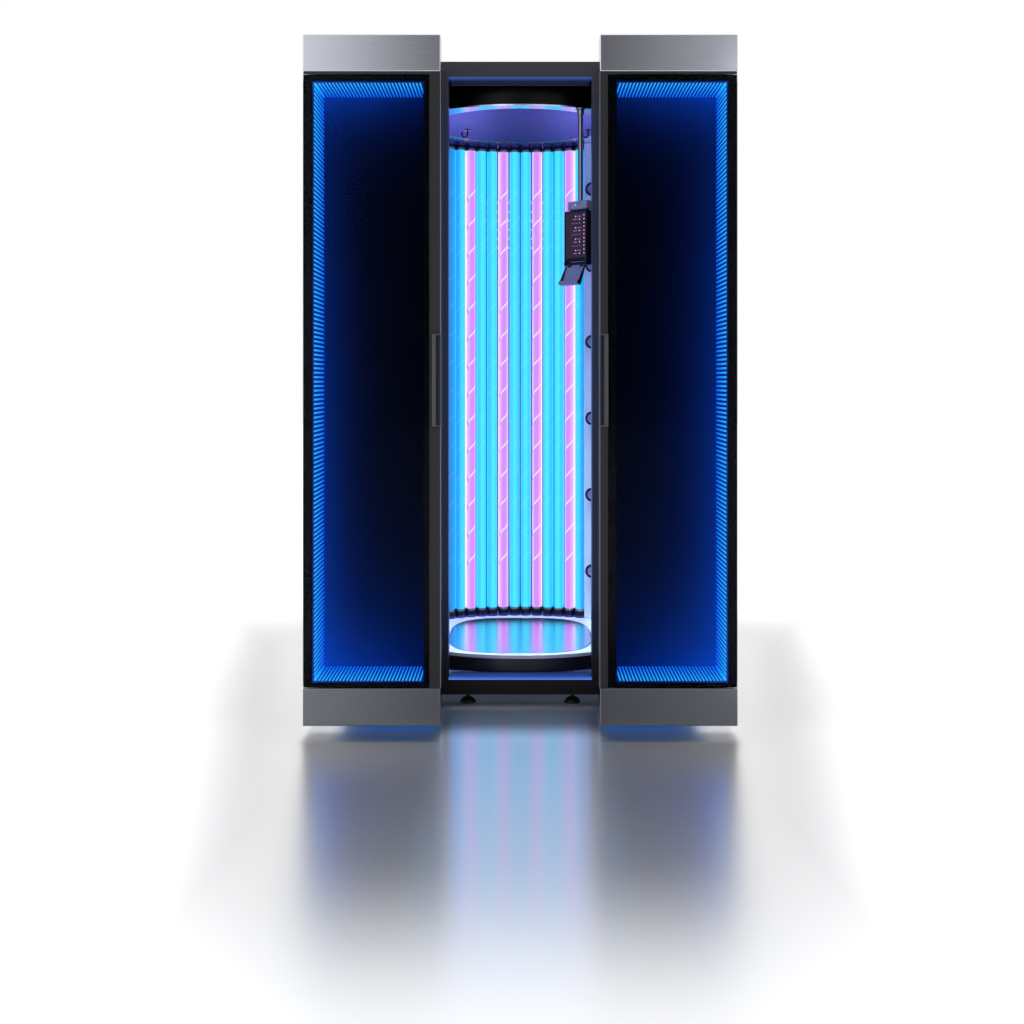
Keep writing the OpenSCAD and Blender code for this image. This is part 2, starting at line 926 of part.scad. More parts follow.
module coat_hooks() {
    wire = 3.5;
    bend = 11;
    drop = 20;
    color("silver")
        for (p = hook_places)
            translate([p.x, p.y, ceiling_z - 1 - seat]) {
                translate([0, 0, -4])
                    cylinder(r = 13, h = 4);
                translate([0, 0, -drop])
                    cylinder(r = wire, h = drop - 3);
                translate([-bend, 0, -drop])
                    rotate([90, 0, 0])
                        rotate_extrude(angle = -180)
                            translate([bend, 0])
                                circle(r = wire);
                translate([-2 * bend, 0, -drop])
                    cylinder(r = wire, h = 4);
                translate([-2 * bend, 0, -drop + 5])
                    sphere(r = wire + 1.5);
            }
}

module ballast_tray() {
    plate_y = rear_y - 12;
    color("gray") {
        block(seat - 400, 400 - seat, plate_y, plate_y + 2, 200, 1600);
        for (row = [0 : 6])
            for (x = [-280, 60])
                block(x, x + 220, plate_y - 32, plate_y + eps, 230 + row * 190, 290 + row * 190);
    }
}

// ---- Control unit ----

// Puts the pole's axis at the origin and the display's face towards -Y
module at_unit() {
    translate([pole_x, pole_y, 0])
        rotate([0, 0, unit_turn])
            children();
}

module display_housing() {
    half = housing_w / 2;
    back = face_y + housing_d;
    bevel = 6;
    plan = [
        [-half + bevel, back], [-half, back - bevel], [-half, face_y + 2], [-half + 2, face_y],
        [half - 2, face_y], [half, face_y + 2], [half, back - bevel], [half - bevel, back]
    ];
    color("black")
        at_unit()
            difference() {
                union() {
                    prism(plan, housing_z, housing_top);
                    block(-40, 40, face_y + 18, back, housing_top - eps, unit_top - head_h + eps);
                    block(-head_w / 2, head_w / 2, face_y + 12, 24, unit_top - head_h, unit_top);
                    for (side = [-1, 1])
                        on_side(side)
                            block(head_w / 2 + 1.5, half, hinge_y - 7, hinge_y + 7,
                                  hinge_z - 7, housing_z + eps);
                }
                translate([0, 0, unit_top - head_h + 7.5])
                    cylinder(r = pole_r + 4.1, h = 5);
                translate([0, 0, unit_top - head_h + 8])
                    cylinder(r = pole_r + running, h = head_h);
                rod_x(hinge_y, hinge_z, pin_r + running, -half - eps, half + eps);
                block(-36, 53, face_y - eps, face_y + 2.2, housing_z + 15, housing_top - 8);
                rod_y(-8, unit_top - 15, 4, face_y + 12 - eps, face_y + 14);
            }
}

module display_screen() {
    color("indigo")
        at_unit()
            block(-36 + seat, 53 - seat, face_y + 0.2, face_y + 2,
                  housing_z + 15 + seat, housing_top - 8 - seat);
}

// A plate with side flanges and a lip that a phone stands on
module phone_holder() {
    half = head_w / 2;
    t = 3;
    lip = 19;
    flange = 8;
    color("slategray")
        at_unit()
            translate([0, hinge_y, hinge_z])
                rotate([-holder_tilt, 0, 0]) {
                    rod_x(0, 0, pin_r, -half - 7, half + 7);
                    rod_x(0, 0, 6, -half, half);
                    block(-half, half, -t / 2, t / 2, -holder_l, 0);
                    block(-half, half, -lip, t / 2, -holder_l, -holder_l + t);
                    block(-half, half, -lip, -lip + t, -holder_l, -holder_l + 10);
                    for (x = [-half, half - t])
                        block(x, x + t, -flange, t / 2, -holder_l, -14);
                }
}

// ---- Doors ----

module door_frame(side) {
    in_x = shell_in + 3;
    out_x = door_w - 3;
    bar = 26;
    z0 = door_gap_z + sheet_t + seat;
    z1 = door_top - sheet_t - seat;
    hang_z = rail_z - 24;
    arm_z = glass_z0 + 4;
    arm0 = roller_in - 30;
    arm1 = roller_in + roller_span + 20;
    shoe0 = roller_in + 10;
    shoe1 = roller_in + 90;
    windows = [
        [z0 + 12, glass_z0 - 10], [glass_z0 + bar, hang_z - bar], [hang_z + 20, z1 - 12]
    ];
    color("gray")
        at_door(side) {
            difference() {
                block(in_x, out_x, door_frame_y, door_frame_end, z0, z1);
                for (w = windows)
                    block(in_x + bar, out_x - bar, door_frame_y - eps, door_frame_end + eps,
                          w[0], w[1]);
            }
            // Hanger: a foot on the frame, a plate behind the door and two axles
            block(arm0, arm1, door_frame_end - eps, hanger_y + hanger_t, hang_z, hang_z + 8);
            block(arm0, arm1, hanger_y, hanger_y + hanger_t, hang_z, axle_z + 22);
            for (x = [roller_in, roller_in + roller_span]) {
                rod_y(x, axle_z, axle_r + 3, hanger_y + hanger_t - eps, roller_y - 0.3);
                rod_y(x, axle_z, axle_r, hanger_y, roller_y + roller_w + 1);
                rod_y(x, axle_z, axle_r + 3, roller_y + roller_w + 0.3, roller_y + roller_w + 4);
            }
            // Guide arm: out over the foot band, down behind it and up into the channel
            block(shoe0, shoe1, door_frame_end - eps, hanger_y + hanger_t, arm_z, arm_z + 8);
            block(shoe0, shoe1, hanger_y, hanger_y + hanger_t, 46, arm_z + 8);
            block(shoe0, shoe1, hanger_y, rail_y + 16, 46, 52);
            block(shoe0, shoe1, rail_y + 6, rail_y + 16, 46, 80);
            block(shoe0, shoe1, rail_y + 2, rail_y + 20, 70, 84);
        }
}

module band_cap(side, z0, z1, open_top) {
    bevel = sheet_t * 0.6;
    floor_t = open_top ? z0 + sheet_t : z0 - eps;
    roof = open_top ? z1 + eps : z1 - sheet_t;
    color("darkgray")
        at_door(side)
            difference() {
                prism(door_plan, z0, z1);
                prism(inset(door_plan, sheet_t), floor_t, roof);
                translate([door_w / 2, 0, z1])
                    rotate([45, 0, 0])
                        cube([door_w + 2 * eps, bevel * sqrt(2), bevel * sqrt(2)], center = true);
            }
}

module closing_profile(side, w) {
    t = 3;
    color("dimgray")
        at_door(side)
            difference() {
                union() {
                    block(0, w - seat, 3, 3 + profile_d, glass_z0, door_top - header_h - seat);
                    block(-3.2, 1, 32, 42, glass_z0, door_top - header_h - seat);
                    block(-1.2, 1, 8, 26, glass_z0, door_top - header_h - seat);
                }
                block(t, w - seat - t, 3 + t, profile_d, glass_z0 - eps, door_top);
                block(w - 8, w - 5, 3 - eps, 5, glass_z0 - eps, door_top);
            }
}

// A grip with a finger channel that opens to the front
module handle(side) {
    z = door_gap_z + (door_top - door_gap_z) / 2;
    x0 = -2.8;
    base_y = 3 - seat;
    half = handle_l / 2 - handle_w / 2;
    color("dimgray")
        at_door(side)
            translate([x0 + handle_w / 2, 0, z])
                difference() {
                    union() {
                        block(-handle_w / 2, handle_w / 2, -handle_proud, base_y, -half, half);
                        for (end = [-1, 1])
                            rod_y(0, end * half, handle_w / 2, -handle_proud, base_y);
                    }
                    block(-12, 1, -handle_proud - eps, -2, -half, half);
                    for (end = [-1, 1])
                        rod_y(-5.5, end * half, 6.5, -handle_proud - eps, -2);
                }
}

module door_glass(side, w) {
    color("black")
        at_door(side)
            block(w, door_w, glass_y, glass_y + glass_t, glass_z0, glass_z1);
}

// The tunnel behind the glass: four walls and a back
module light_box(side) {
    x0 = opening_in;
    x1 = door_w - opening_out;
    z0 = glass_z0 + opening_bottom;
    z1 = glass_z1 - opening_top;
    color("navy")
        at_door(side)
            difference() {
                block(x0 - box_t, x1 + box_t, box_y, box_back + box_t, z0 - box_t, z1 + box_t);
                block(x0, x1, box_y - eps, box_back, z0, z1);
            }
}

// Three carriers inside the tunnel with a raised light bar at every pitch
module light_bars(side) {
    t = 2;
    rib = 1;
    x0 = opening_in + seat;
    x1 = door_w - opening_out - seat;
    z0 = glass_z0 + opening_bottom + seat;
    z1 = glass_z1 - opening_top - seat;
    y0 = box_y + 1;
    y1 = box_back - seat;
    across = floor((x1 - x0 - 14) / row_pitch);
    up = floor((z1 - z0 - 16) / bar_pitch);
    color("deepskyblue")
        at_door(side) {
            block(x1 - t, x1, y0, y1, z0, z1);
            block(x0, x1 - t - seat, y0, y1, z0, z0 + t);
            block(x0, x1 - t - seat, y0, y1, z1 - t, z1);
            for (k = [0 : across]) {
                x = x1 - 6 - k * row_pitch;
                block(x - 3, x, y0, y1, z0 + t - rib, z0 + t + rib);
                block(x - 3, x, y0, y1, z1 - t - rib, z1 - t + rib);
            }
            for (k = [0 : up]) {
                z = z0 + 7 + k * bar_pitch;
                block(x1 - t - rib, x1 - t + rib, y0, y1, z, z + 3);
            }
        }
}

module door_shell(side) {
    z0 = glass_z0 + 16;
    z1 = rail_z - 34;
    color("black")
        at_door(side) {
            bent_sheet([[door_w, glass_y + glass_t + 3], [door_w, door_d - 42],
                        [door_w - 20, door_d - 12], [bay_end + 2, door_d - 12],
                        [bay_end + 2, door_frame_end + seat]], 2, z0, z1);
            bent_sheet([[shell_in, door_frame_end], [shell_in, profile_d + 30],
                        [3, profile_d + 8]], 2, z0, z1);
        }
}

door_lamp_z0 = glass_z0 + 20;
door_lamp_z1 = rail_z - 54;

module lamp_tray(side) {
    color("gainsboro")
        at_door(side)
            difference() {
                union() {
                    block(shell_in + 1, bay_end - 1, door_frame_end + seat,
                          door_frame_end + seat + tray_t, door_lamp_z0 - 3, door_lamp_z1 + 18);
                    for (z = [door_lamp_z0 - 3, door_lamp_z1 - 2])
                        block(shell_in + 1, bay_end - 1, door_frame_end + tray_t + 2 * seat,
                              door_lamp_y + lamp_r + 1, z, z + 20);
                }
                for (i = [0 : door_lamps - 1])
                    translate([door_lamp_x(i), door_lamp_y, door_lamp_z0 + 5])
                        cylinder(r = lamp_r + 0.4, h = door_lamp_z1 - door_lamp_z0 + 5);
            }
}

function door_lamp_x(i) = 45 + i * lamp_pitch;

module door_lamps(side) {
    color("deepskyblue")
        at_door(side)
            for (i = [0 : door_lamps - 1])
                translate([door_lamp_x(i), door_lamp_y, door_lamp_z0 + 6])
                    lamp(door_lamp_z1 - door_lamp_z0 + 3);
}

module roller(side, x) {
    color("silver")
        at_door(side)
            translate([x, roller_y, axle_z])
                rotate([-90, 0, 0])
                    difference() {
                        union() {
                            cylinder(r = flange_r, h = flange_w);
                            cylinder(r = tread_r, h = roller_w);
                            translate([0, 0, roller_w - flange_w])
                                cylinder(r = flange_r, h = flange_w);
                        }
                        translate([0, 0, -eps])
                            cylinder(r = axle_r + running, h = roller_w + 2 * eps);
                    }
}

module left_door_frame() { door_frame(-1); }
module left_door_header() { band_cap(-1, door_top - header_h, door_top, false); }
module left_door_footer() { band_cap(-1, door_gap_z, door_gap_z + footer_h, true); }
module left_door_glass() { door_glass(-1, left_profile_w); }
module left_light_box() { light_box(-1); }
module left_light_bars() { light_bars(-1); }
module left_closing_profile() { closing_profile(-1, left_profile_w); }
module left_handle() { handle(-1); }
module left_door_shell() { door_shell(-1); }
module left_door_lamps() { door_lamps(-1); }
module left_lamp_tray() { lamp_tray(-1); }
module left_inner_roller() { roller(-1, roller_in); }
module left_outer_roller() { roller(-1, roller_in + roller_span); }

module right_door_frame() { door_frame(1); }
module right_door_header() { band_cap(1, door_top - header_h, door_top, false); }
module right_door_footer() { band_cap(1, door_gap_z, door_gap_z + footer_h, true); }
module right_door_glass() { door_glass(1, right_profile_w); }
module right_light_box() { light_box(1); }
module right_light_bars() { light_bars(1); }
module right_closing_profile() { closing_profile(1, right_profile_w); }
module right_handle() { handle(1); }
module right_door_shell() { door_shell(1); }
module right_door_lamps() { door_lamps(1); }
module right_lamp_tray() { lamp_tray(1); }
module right_inner_roller() { roller(1, roller_in); }
module right_outer_roller() { roller(1, roller_in + roller_span); }

cabin_frame();
levelling_feet();
floor_pan();
front_portal();
mood_lights();
front_panels();
side_panels();
rear_panel();
roof_panel();
door_rails();
platform();
platform_skirt();
floor_plate();
canopy_band();
ceiling_ring();
ceiling_light();
lamp_holders();
lamp_reflectors();
blue_lamps();
pink_lamps();
air_column();
hanger_pole();
coat_hooks();
ballast_tray();
nozzle_ring_1();
nozzle_ring_2();
nozzle_ring_3();
nozzle_ring_4();
nozzle_ring_5();
nozzle_ring_6();
exhaust_fan();
display_housing();
display_screen();
phone_holder();
left_door_frame();
left_door_header();
left_door_footer();
left_door_glass();
left_light_box();
left_light_bars();
left_closing_profile();
left_handle();
left_door_shell();
left_door_lamps();
left_lamp_tray();
left_inner_roller();
left_outer_roller();
right_door_frame();
right_door_header();
right_door_footer();
right_door_glass();
right_light_box();
right_light_bars();
right_closing_profile();
right_handle();
right_door_shell();
right_door_lamps();
right_lamp_tray();
right_inner_roller();
right_outer_roller();
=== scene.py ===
"""Looks of a walk-in tanning booth with a ring of upright lamps and two sliding doors.

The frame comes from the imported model. Each sub-assembly below models its visible
pieces in metres, in the frame's own place, and dresses them with its finishes.
X points right, Y from front to rear and Z up.
"""

import logging
import math
from contextlib import contextmanager
from dataclasses import dataclass
from enum import Enum
from functools import reduce
from typing import Callable, Dict, Iterator, List, Sequence, Tuple

import bpy
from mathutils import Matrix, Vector


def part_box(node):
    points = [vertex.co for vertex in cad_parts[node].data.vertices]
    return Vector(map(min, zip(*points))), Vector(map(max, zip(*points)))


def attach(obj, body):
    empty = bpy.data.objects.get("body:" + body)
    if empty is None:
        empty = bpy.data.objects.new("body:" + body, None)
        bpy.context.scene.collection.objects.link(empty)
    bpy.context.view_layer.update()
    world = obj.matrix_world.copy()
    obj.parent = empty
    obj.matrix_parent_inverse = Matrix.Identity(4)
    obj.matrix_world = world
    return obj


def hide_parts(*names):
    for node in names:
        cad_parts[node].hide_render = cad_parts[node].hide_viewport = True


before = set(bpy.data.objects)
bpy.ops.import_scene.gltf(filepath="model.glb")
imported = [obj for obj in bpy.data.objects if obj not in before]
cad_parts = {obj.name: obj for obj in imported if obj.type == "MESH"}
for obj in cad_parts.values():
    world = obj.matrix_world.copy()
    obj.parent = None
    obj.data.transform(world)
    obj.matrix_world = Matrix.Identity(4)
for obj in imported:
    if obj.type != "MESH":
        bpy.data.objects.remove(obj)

LOG = logging.getLogger("booth")

Colour = Tuple[float, float, float, float]
Point = Tuple[float, float, float]
Flat = Tuple[float, float]
Box = Tuple[Point, Point]
Stops = Tuple[Tuple[float, Colour], ...]
Piece = bpy.types.Object
Tree = bpy.types.NodeTree
Test = Callable[[Vector, Vector], bool]
Inputs = Dict[str, object]

BLACK: Colour = (0.0, 0.0, 0.0, 1.0)
WHITE: Colour = (1.0, 1.0, 1.0, 1.0)
GREY: Colour = (0.5, 0.5, 0.5, 1.0)

# A Mix node repeats its sockets' names for each data type; these are its colours' places.
MIX_FACTOR, MIX_FIRST, MIX_SECOND, MIX_RESULT = 0, 6, 7, 2


class Side(Enum):
    """The two doors and their side of the doorway."""

    LEFT = -1
    RIGHT = 1

    @property
    def word(self) -> str:
        """The side's name as the nodes spell it."""
        return self.name.lower()


class Axis(Enum):
    """The axis that a round piece lies along, as the turn that lays it there."""

    X = (0.0, math.pi / 2, 0.0)
    Y = (-math.pi / 2, 0.0, 0.0)
    Z = (0.0, 0.0, 0.0)


# ---------------------------------------------------------------- shader tools


def srgb(*screen: float) -> Colour:
    """Turns a screen colour of 0 to 255 into the linear colour a shader takes."""
    shares = [value / 255 for value in screen]
    return (*(s / 12.92 if s <= 0.04045 else ((s + 0.055) / 1.055) ** 2.4 for s in shares), 1.0)


class Wire:
    """A value that runs through a graph and can be reckoned with."""

    def __init__(self, graph: "Graph", socket: bpy.types.NodeSocket) -> None:
        """Keeps the graph and the socket that the value leaves."""
        self.graph = graph
        self.socket = socket

    def do(self, operation: str, *others: object, clamp: bool = False) -> "Wire":
        """Puts the value through a Math node, ahead of any others."""
        return self.graph.made("Math", dict(enumerate((self, *others))), operation=operation,
                               use_clamp=clamp)

    def most(self, other: object) -> "Wire":
        """Gives the greater of two values."""
        return self.do("MAXIMUM", other)

    def held(self) -> "Wire":
        """Holds the value between 0 and 1."""
        return self.do("ADD", 0.0, clamp=True)

    def __add__(self, other: object) -> "Wire":
        """Adds a value."""
        return self.do("ADD", other)

    def __sub__(self, other: object) -> "Wire":
        """Takes a value off."""
        return self.do("SUBTRACT", other)

    def __rsub__(self, other: float) -> "Wire":
        """Takes this value off a number."""
        return self.do("MULTIPLY_ADD", -1.0, other)

    def __mul__(self, other: object) -> "Wire":
        """Multiplies by a value."""
        return self.do("MULTIPLY", other)

    def __abs__(self) -> "Wire":
        """Drops the sign."""
        return self.do("ABSOLUTE")


class Graph:
    """Lays out the nodes of one material, group or world."""

    def __init__(self, tree: Tree) -> None:
        """Keeps the tree that the nodes go into."""
        self.tree = tree

    @classmethod
    def on(cls, owner: bpy.types.ID) -> "Graph":
        """Starts an empty graph on a material or world.

        Args:
            owner: The material or world.

        Returns:
            The graph.
        """
        owner.use_nodes = True
        owner.node_tree.nodes.clear()
        return cls(owner.node_tree)

    def add(self, kind: str, **settings: object) -> bpy.types.Node:
        """Adds a shader node.

        Args:
            kind: The shader node's type.
            **settings: Properties to set on it.

        Returns:
            The node.
        """
        node = self.tree.nodes.new("ShaderNode" + kind)
        for key, value in settings.items():
            setattr(node, key, value)
        return node

    def fill(self, node: bpy.types.Node, values: Dict[object, object]) -> None:
        """Fills a node's inputs with wires and plain values.

        Args:
            node: The node.
            values: The values by the input's number, or by its name with an
                underscore for each space.
        """
        for key, value in values.items():
            socket = node.inputs[key.replace("_", " ") if isinstance(key, str) else key]
            if isinstance(value, Wire):
                self.tree.links.new(value.socket, socket)
            else:
                socket.default_value = value

    def made(self, kind: str, values: Dict[object, object], output: object = 0,
             **settings: object) -> Wire:
        """Adds a node, fills its inputs and gives one of its outputs.

        Args:
            kind: The shader node's type.
            values: The values of its inputs.
            output: The output's number or name.
            **settings: Properties to set on the node.

        Returns:
            The output.
        """
        node = self.add(kind, **settings)
        self.fill(node, values)
        return Wire(self, node.outputs[output])

    def mix(self, factor: object, first: object, second: object, blend: str = "MIX") -> Wire:
        """Mixes two colours; the factor is how much of the second shows."""
        return self.made("Mix", {MIX_FACTOR: factor, MIX_FIRST: first, MIX_SECOND: second},
                         MIX_RESULT, data_type="RGBA", blend_type=blend)

    def scale(self, colour: object, amount: object) -> Wire:
        """Multiplies a colour or vector by a value."""
        return self.made("VectorMath", {0: colour, "Scale": amount}, operation="SCALE")

    def smooth(self, value: Wire, low: float, high: float, start: float = 0.0,
               end: float = 1.0) -> Wire:
        """Maps low to high smoothly onto start to end, held at both ends."""
        return self.made("MapRange", dict(enumerate((value, low, high, start, end))),
                         interpolation_type="SMOOTHSTEP")

    def ramp(self, value: Wire, stops: Stops) -> Wire:
        """Turns a value of 0 to 1 into a colour through a row of stops.

        Args:
            value: The value.
            stops: Pairs of place and colour, from 0 to 1.

        Returns:
            The colour.
        """
        node = self.add("ValToRGB")
        row = node.color_ramp.elements
        while len(row) < len(stops):
            row.new(0.5)
        for element, (place, colour) in zip(row, stops):
            element.position = place
            element.color = colour
        self.fill(node, {"Fac": value})
        return Wire(self, node.outputs[0])

    def noise(self, vector: Wire, scale: float, detail: float = 3.0,
              roughness: float = 0.5) -> Wire:
        """Gives a noise texture's value."""
        return self.made("TexNoise", {"Vector": vector, "Scale": scale, "Detail": detail,
                                      "Roughness": roughness})

    def place(self) -> Wire:
        """Gives the Object coordinates, in metres."""
        return self.made("TexCoord", {}, "Object")

    def stretched(self, vector: Wire, scale: Point) -> Wire:
        """Scales coordinates."""
        return self.made("Mapping", {"Vector": vector, "Scale": scale})

    def parts(self, vector: Wire) -> List[Wire]:
        """Splits a vector.

        Args:
            vector: The vector.

        Returns:
            Its three values.
        """
        node = self.add("SeparateXYZ")
        self.fill(node, {0: vector})
        return [Wire(self, socket) for socket in node.outputs]

    def rays(self, *kinds: str) -> Wire:
        """Tells whether a ray is of one of some kinds."""
        path = self.add("LightPath")
        return reduce(Wire.most, (Wire(self, path.outputs[f"Is {kind} Ray"]) for kind in kinds))

    def use(self, group: Tree, **values: object) -> List[Wire]:
        """Places a node group with its own values.

        Args:
            group: The group's tree.
            **values: Its inputs, with an underscore for each space.

        Returns:
            Its outputs.
        """
        node = self.add("Group", node_tree=group)
        self.fill(node, values)
        return [Wire(self, socket) for socket in node.outputs]

    def bump(self, height: Wire, strength: float, distance: float) -> Wire:
        """Gives the normal that a height makes."""
        return self.made("Bump", {"Height": height, "Strength": strength, "Distance": distance})

    def close(self, **outputs: Wire) -> Tree:
        """Ends a node group.

        Args:
            **outputs: What leaves it, by name.

        Returns:
            The group's tree.
        """
        for key in outputs:
            kind = "NodeSocketColor" if key == "Colour" else "NodeSocketFloat"
            self.tree.interface.new_socket(key, in_out="OUTPUT", socket_type=kind)
        self.fill(self.tree.nodes.new("NodeGroupOutput"), outputs)
        return self.tree


def new_group(name: str, **inputs: object) -> list:
    """Starts a shader node group.

    Args:
        name: The group's name.
        **inputs: Each input's default: none for a vector, a tuple for a colour.

    Returns:
        The group's graph, followed by a wire for each input.
    """
    tree = bpy.data.node_groups.new(name, "ShaderNodeTree")
    for key, default in inputs.items():
        kind = {type(None): "Vector", tuple: "Color"}.get(type(default), "Float")
        socket = tree.interface.new_socket(key.replace("_", " "), in_out="INPUT",
                                           socket_type="NodeSocket" + kind)
        if default is not None:
            socket.default_value = default
    graph = Graph(tree)
    source = tree.nodes.new("NodeGroupInput")
    return [graph] + [Wire(graph, socket) for socket in source.outputs[:len(inputs)]]


class Effects:
    """The effects that more than one finish uses, each built once."""

    def __init__(self) -> None:
        """Builds every group."""
        self.film = self._film()
        self.grain = self._grain()
        self.dust = self._dust()
        self.glow = self._glow()

    def _film(self) -> Tree:
        """Uneven colour and gloss of a coated, moulded or polished surface.

        Returns:
            The group's tree.
        """
        graph, vector, colour, shade, gloss, spread, peel = new_group(
            "uneven film", Vector=None, Colour=GREY, Shade=0.1, Gloss=0.3, Gloss_Spread=0.06,
            Peel=0.5)
        broad = graph.noise(vector, 3.2, 4.0, 0.55)
        fine = graph.noise(vector, 900.0, 2.0, 0.6)
        smear = graph.noise(graph.stretched(vector, (9.0, 9.0, 2.2)), 2.0, 5.0, 0.6)
        return graph.close(Colour=graph.scale(colour, (broad - 0.5) * shade + 1.0),
                           Roughness=((smear - 0.5) * spread + gloss).held(), Height=fine * peel)

    def _grain(self) -> Tree:
        """Fine parallel lines of brushed or drawn metal.

        Returns:
            The group's tree.
        """
        graph, vector, depth = new_group("brushed grain", Vector=None, Depth=1.0)
        lines = graph.noise(vector, 60.0, 6.0, 0.7)
        both = graph.noise(vector, 9.0, 3.0, 0.6) * 0.4 + lines
        return graph.close(Height=both * depth, Mask=graph.smooth(both, 0.45, 0.95))

    def _dust(self) -> Tree:
        """A thin layer of dust on faces that look up.

        Returns:
            The group's tree.
        """
        graph, vector, amount = new_group("resting dust", Vector=None, Amount=0.3)
        up = graph.parts(graph.made("NewGeometry", {}, "Normal"))[2]
        speck = graph.smooth(graph.noise(vector, 45.0, 8.0, 0.75), 0.35, 0.75)
        return graph.close(Mask=(graph.smooth(up, 0.6, 1.0) * speck * amount).held())

    def _glow(self) -> Tree:
        """Painted light that is strongest at one place and dies away from it."""
        graph, distance, reach = new_group("dying glow", Distance=0.0, Reach=0.1)
        return graph.close(Strength=(distance.do("DIVIDE", reach) * -1.0).do("EXPONENT"))


EFFECTS = Effects()


# ---------------------------------------------------------------- finishes


@dataclass(frozen=True)
class Finish:
    """A surface finish that gives one material.

    Attributes:
        name: The material's name.
        slot: The material slot that the finish is for; not used.
        colour: The main colour, linear.
        roughness: The shader's roughness before it varies.
    """

    name: str
    slot: str
    colour: Colour = GREY
    roughness: float = 0.4

    def shade(self, graph: Graph, place: Wire) -> Inputs:
        """Lays out the finish. Each kind of finish has its own way.

        Args:
            graph: The material's graph.
            place: The Object coordinates, in metres.

        Returns:
            The shader's inputs by name, with an underscore for each space.
        """
        raise NotImplementedError

    def material(self) -> bpy.types.Material:
        """Gives the finish's material, built the first time it is asked for.

        Returns:
            The material.
        """
        known = bpy.data.materials.get(self.name)
        if known is None:
            known = bpy.data.materials.new(self.name)
            graph = Graph.on(known)
            inputs = {"Base_Color": self.colour, "Roughness": self.roughness,
                      **self.shade(graph, graph.place())}
            surface = graph.made("BsdfPrincipled", inputs)
            graph.fill(graph.add("OutputMaterial"), {"Surface": surface})
        return known


@dataclass(frozen=True)
class Coated(Finish):
    """Powder coat, lacquer or moulded plastic over an even base.

    Attributes:
        shade_spread: How much the colour varies.
        gloss_spread: How much the roughness varies.
        peel: The height of the coat's fine texture.
        dust: How much dust rests on faces that look up.
        ior: The coat's index of refraction.
        sink: How much painted shade darkens the colour towards the floor.
        sink_z: The height where that painted shade ends.
        dust_colour: The dust's own colour.
    """

    shade_spread: float = 0.16
    gloss_spread: float = 0.1
    peel: float = 0.6
    dust: float = 0.0
    ior: float = 1.5
    sink: float = 0.0
    sink_z: float = 0.6
    dust_colour: Colour = srgb(150, 150, 152)

    def shade(self, graph: Graph, place: Wire) -> Inputs:
        """Lays the film over the base colour, with dust where it is asked for.

        Args:
            graph: The material's graph.
            place: The Object coordinates, in metres.

        Returns:
            The shader's inputs by name.
        """
        colour, rough, height = graph.use(
            EFFECTS.film, Vector=place, Colour=self.colour, Shade=self.shade_spread,
            Gloss=self.roughness, Gloss_Spread=self.gloss_spread, Peel=self.peel)
        if self.dust:
            mask, = graph.use(EFFECTS.dust, Vector=place, Amount=self.dust)
            colour = graph.mix(mask, colour, self.dust_colour)
            rough = mask * 0.4 + rough
        # Painted shade: the colour darkens towards the floor, where less light falls.
        if self.sink:
            painted_shade_share = graph.smooth(graph.parts(place)[2], 0.0, self.sink_z, 1.0 - self.sink)
            colour = graph.scale(colour, painted_shade_share)
        return dict(Base_Color=colour, Roughness=rough, Normal=graph.bump(height, 0.25, 0.0002),
                    IOR=self.ior)


@dataclass(frozen=True)
class Brushed(Finish):
    """Metal with a grain that runs along one axis.

    Attributes:
        along: The grain's fineness along each axis.
        tint: How much the colour varies.
        relief: The strength of the grain's bump.
        spread: How much the roughness varies.
    """

    along: Point = (0.3, 12.0, 60.0)
    tint: float = 0.12
    relief: float = 0.12
    spread: float = 0.08

    def shade(self, graph: Graph, place: Wire) -> Inputs:
        """Draws the grain in colour, gloss and bump.

        Args:
            graph: The material's graph.
            place: The Object coordinates, in metres.

        Returns:
            The shader's inputs by name.
        """
        colour, rough, _ = graph.use(
            EFFECTS.film, Vector=place, Colour=self.colour, Shade=self.tint,
            Gloss=self.roughness, Gloss_Spread=self.spread, Peel=0.0)
        height, mask = graph.use(EFFECTS.grain, Vector=graph.stretched(place, self.along),
                                 Depth=0.5)
        dark = graph.mix(1.0, colour, (0.86, 0.86, 0.87, 1.0), "MULTIPLY")
        return dict(Base_Color=graph.mix(mask, dark, colour), Roughness=mask * self.spread + rough,
                    Normal=graph.bump(height, self.relief, 0.0003), Metallic=1.0)


@dataclass(frozen=True)
class Polished(Finish):
    """Chrome, mirror and reflector sheet with faint smears; the reflector sheets also carry a
    painted glow of the lamp light that they reflect.

    Attributes:
        wave: The height of the sheet's slow waves, in metres.
        glow: The colour of a painted glow that stands in for reflected lamp light.
        level: That painted glow's strength.
    """

    wave: float = 0.0003
    glow: Colour = BLACK
    level: float = 0.0

    def shade(self, graph: Graph, place: Wire) -> Inputs:
        """Lays smears over a bright metal, with its painted glow.

        Args:
            graph: The material's graph.
            place: The Object coordinates, in metres.

        Returns:
            The shader's inputs by name.
        """
        colour, rough, _ = graph.use(EFFECTS.film, Vector=place, Colour=self.colour, Shade=0.08,
                                     Gloss=self.roughness, Gloss_Spread=0.06, Peel=0.0)
        waves = graph.bump(graph.noise(place, 14.0, 2.0, 0.4), 0.15, self.wave)
        return dict(Base_Color=colour, Roughness=rough, Normal=waves, Metallic=1.0,
                    Emission_Color=self.glow, Emission_Strength=self.level)


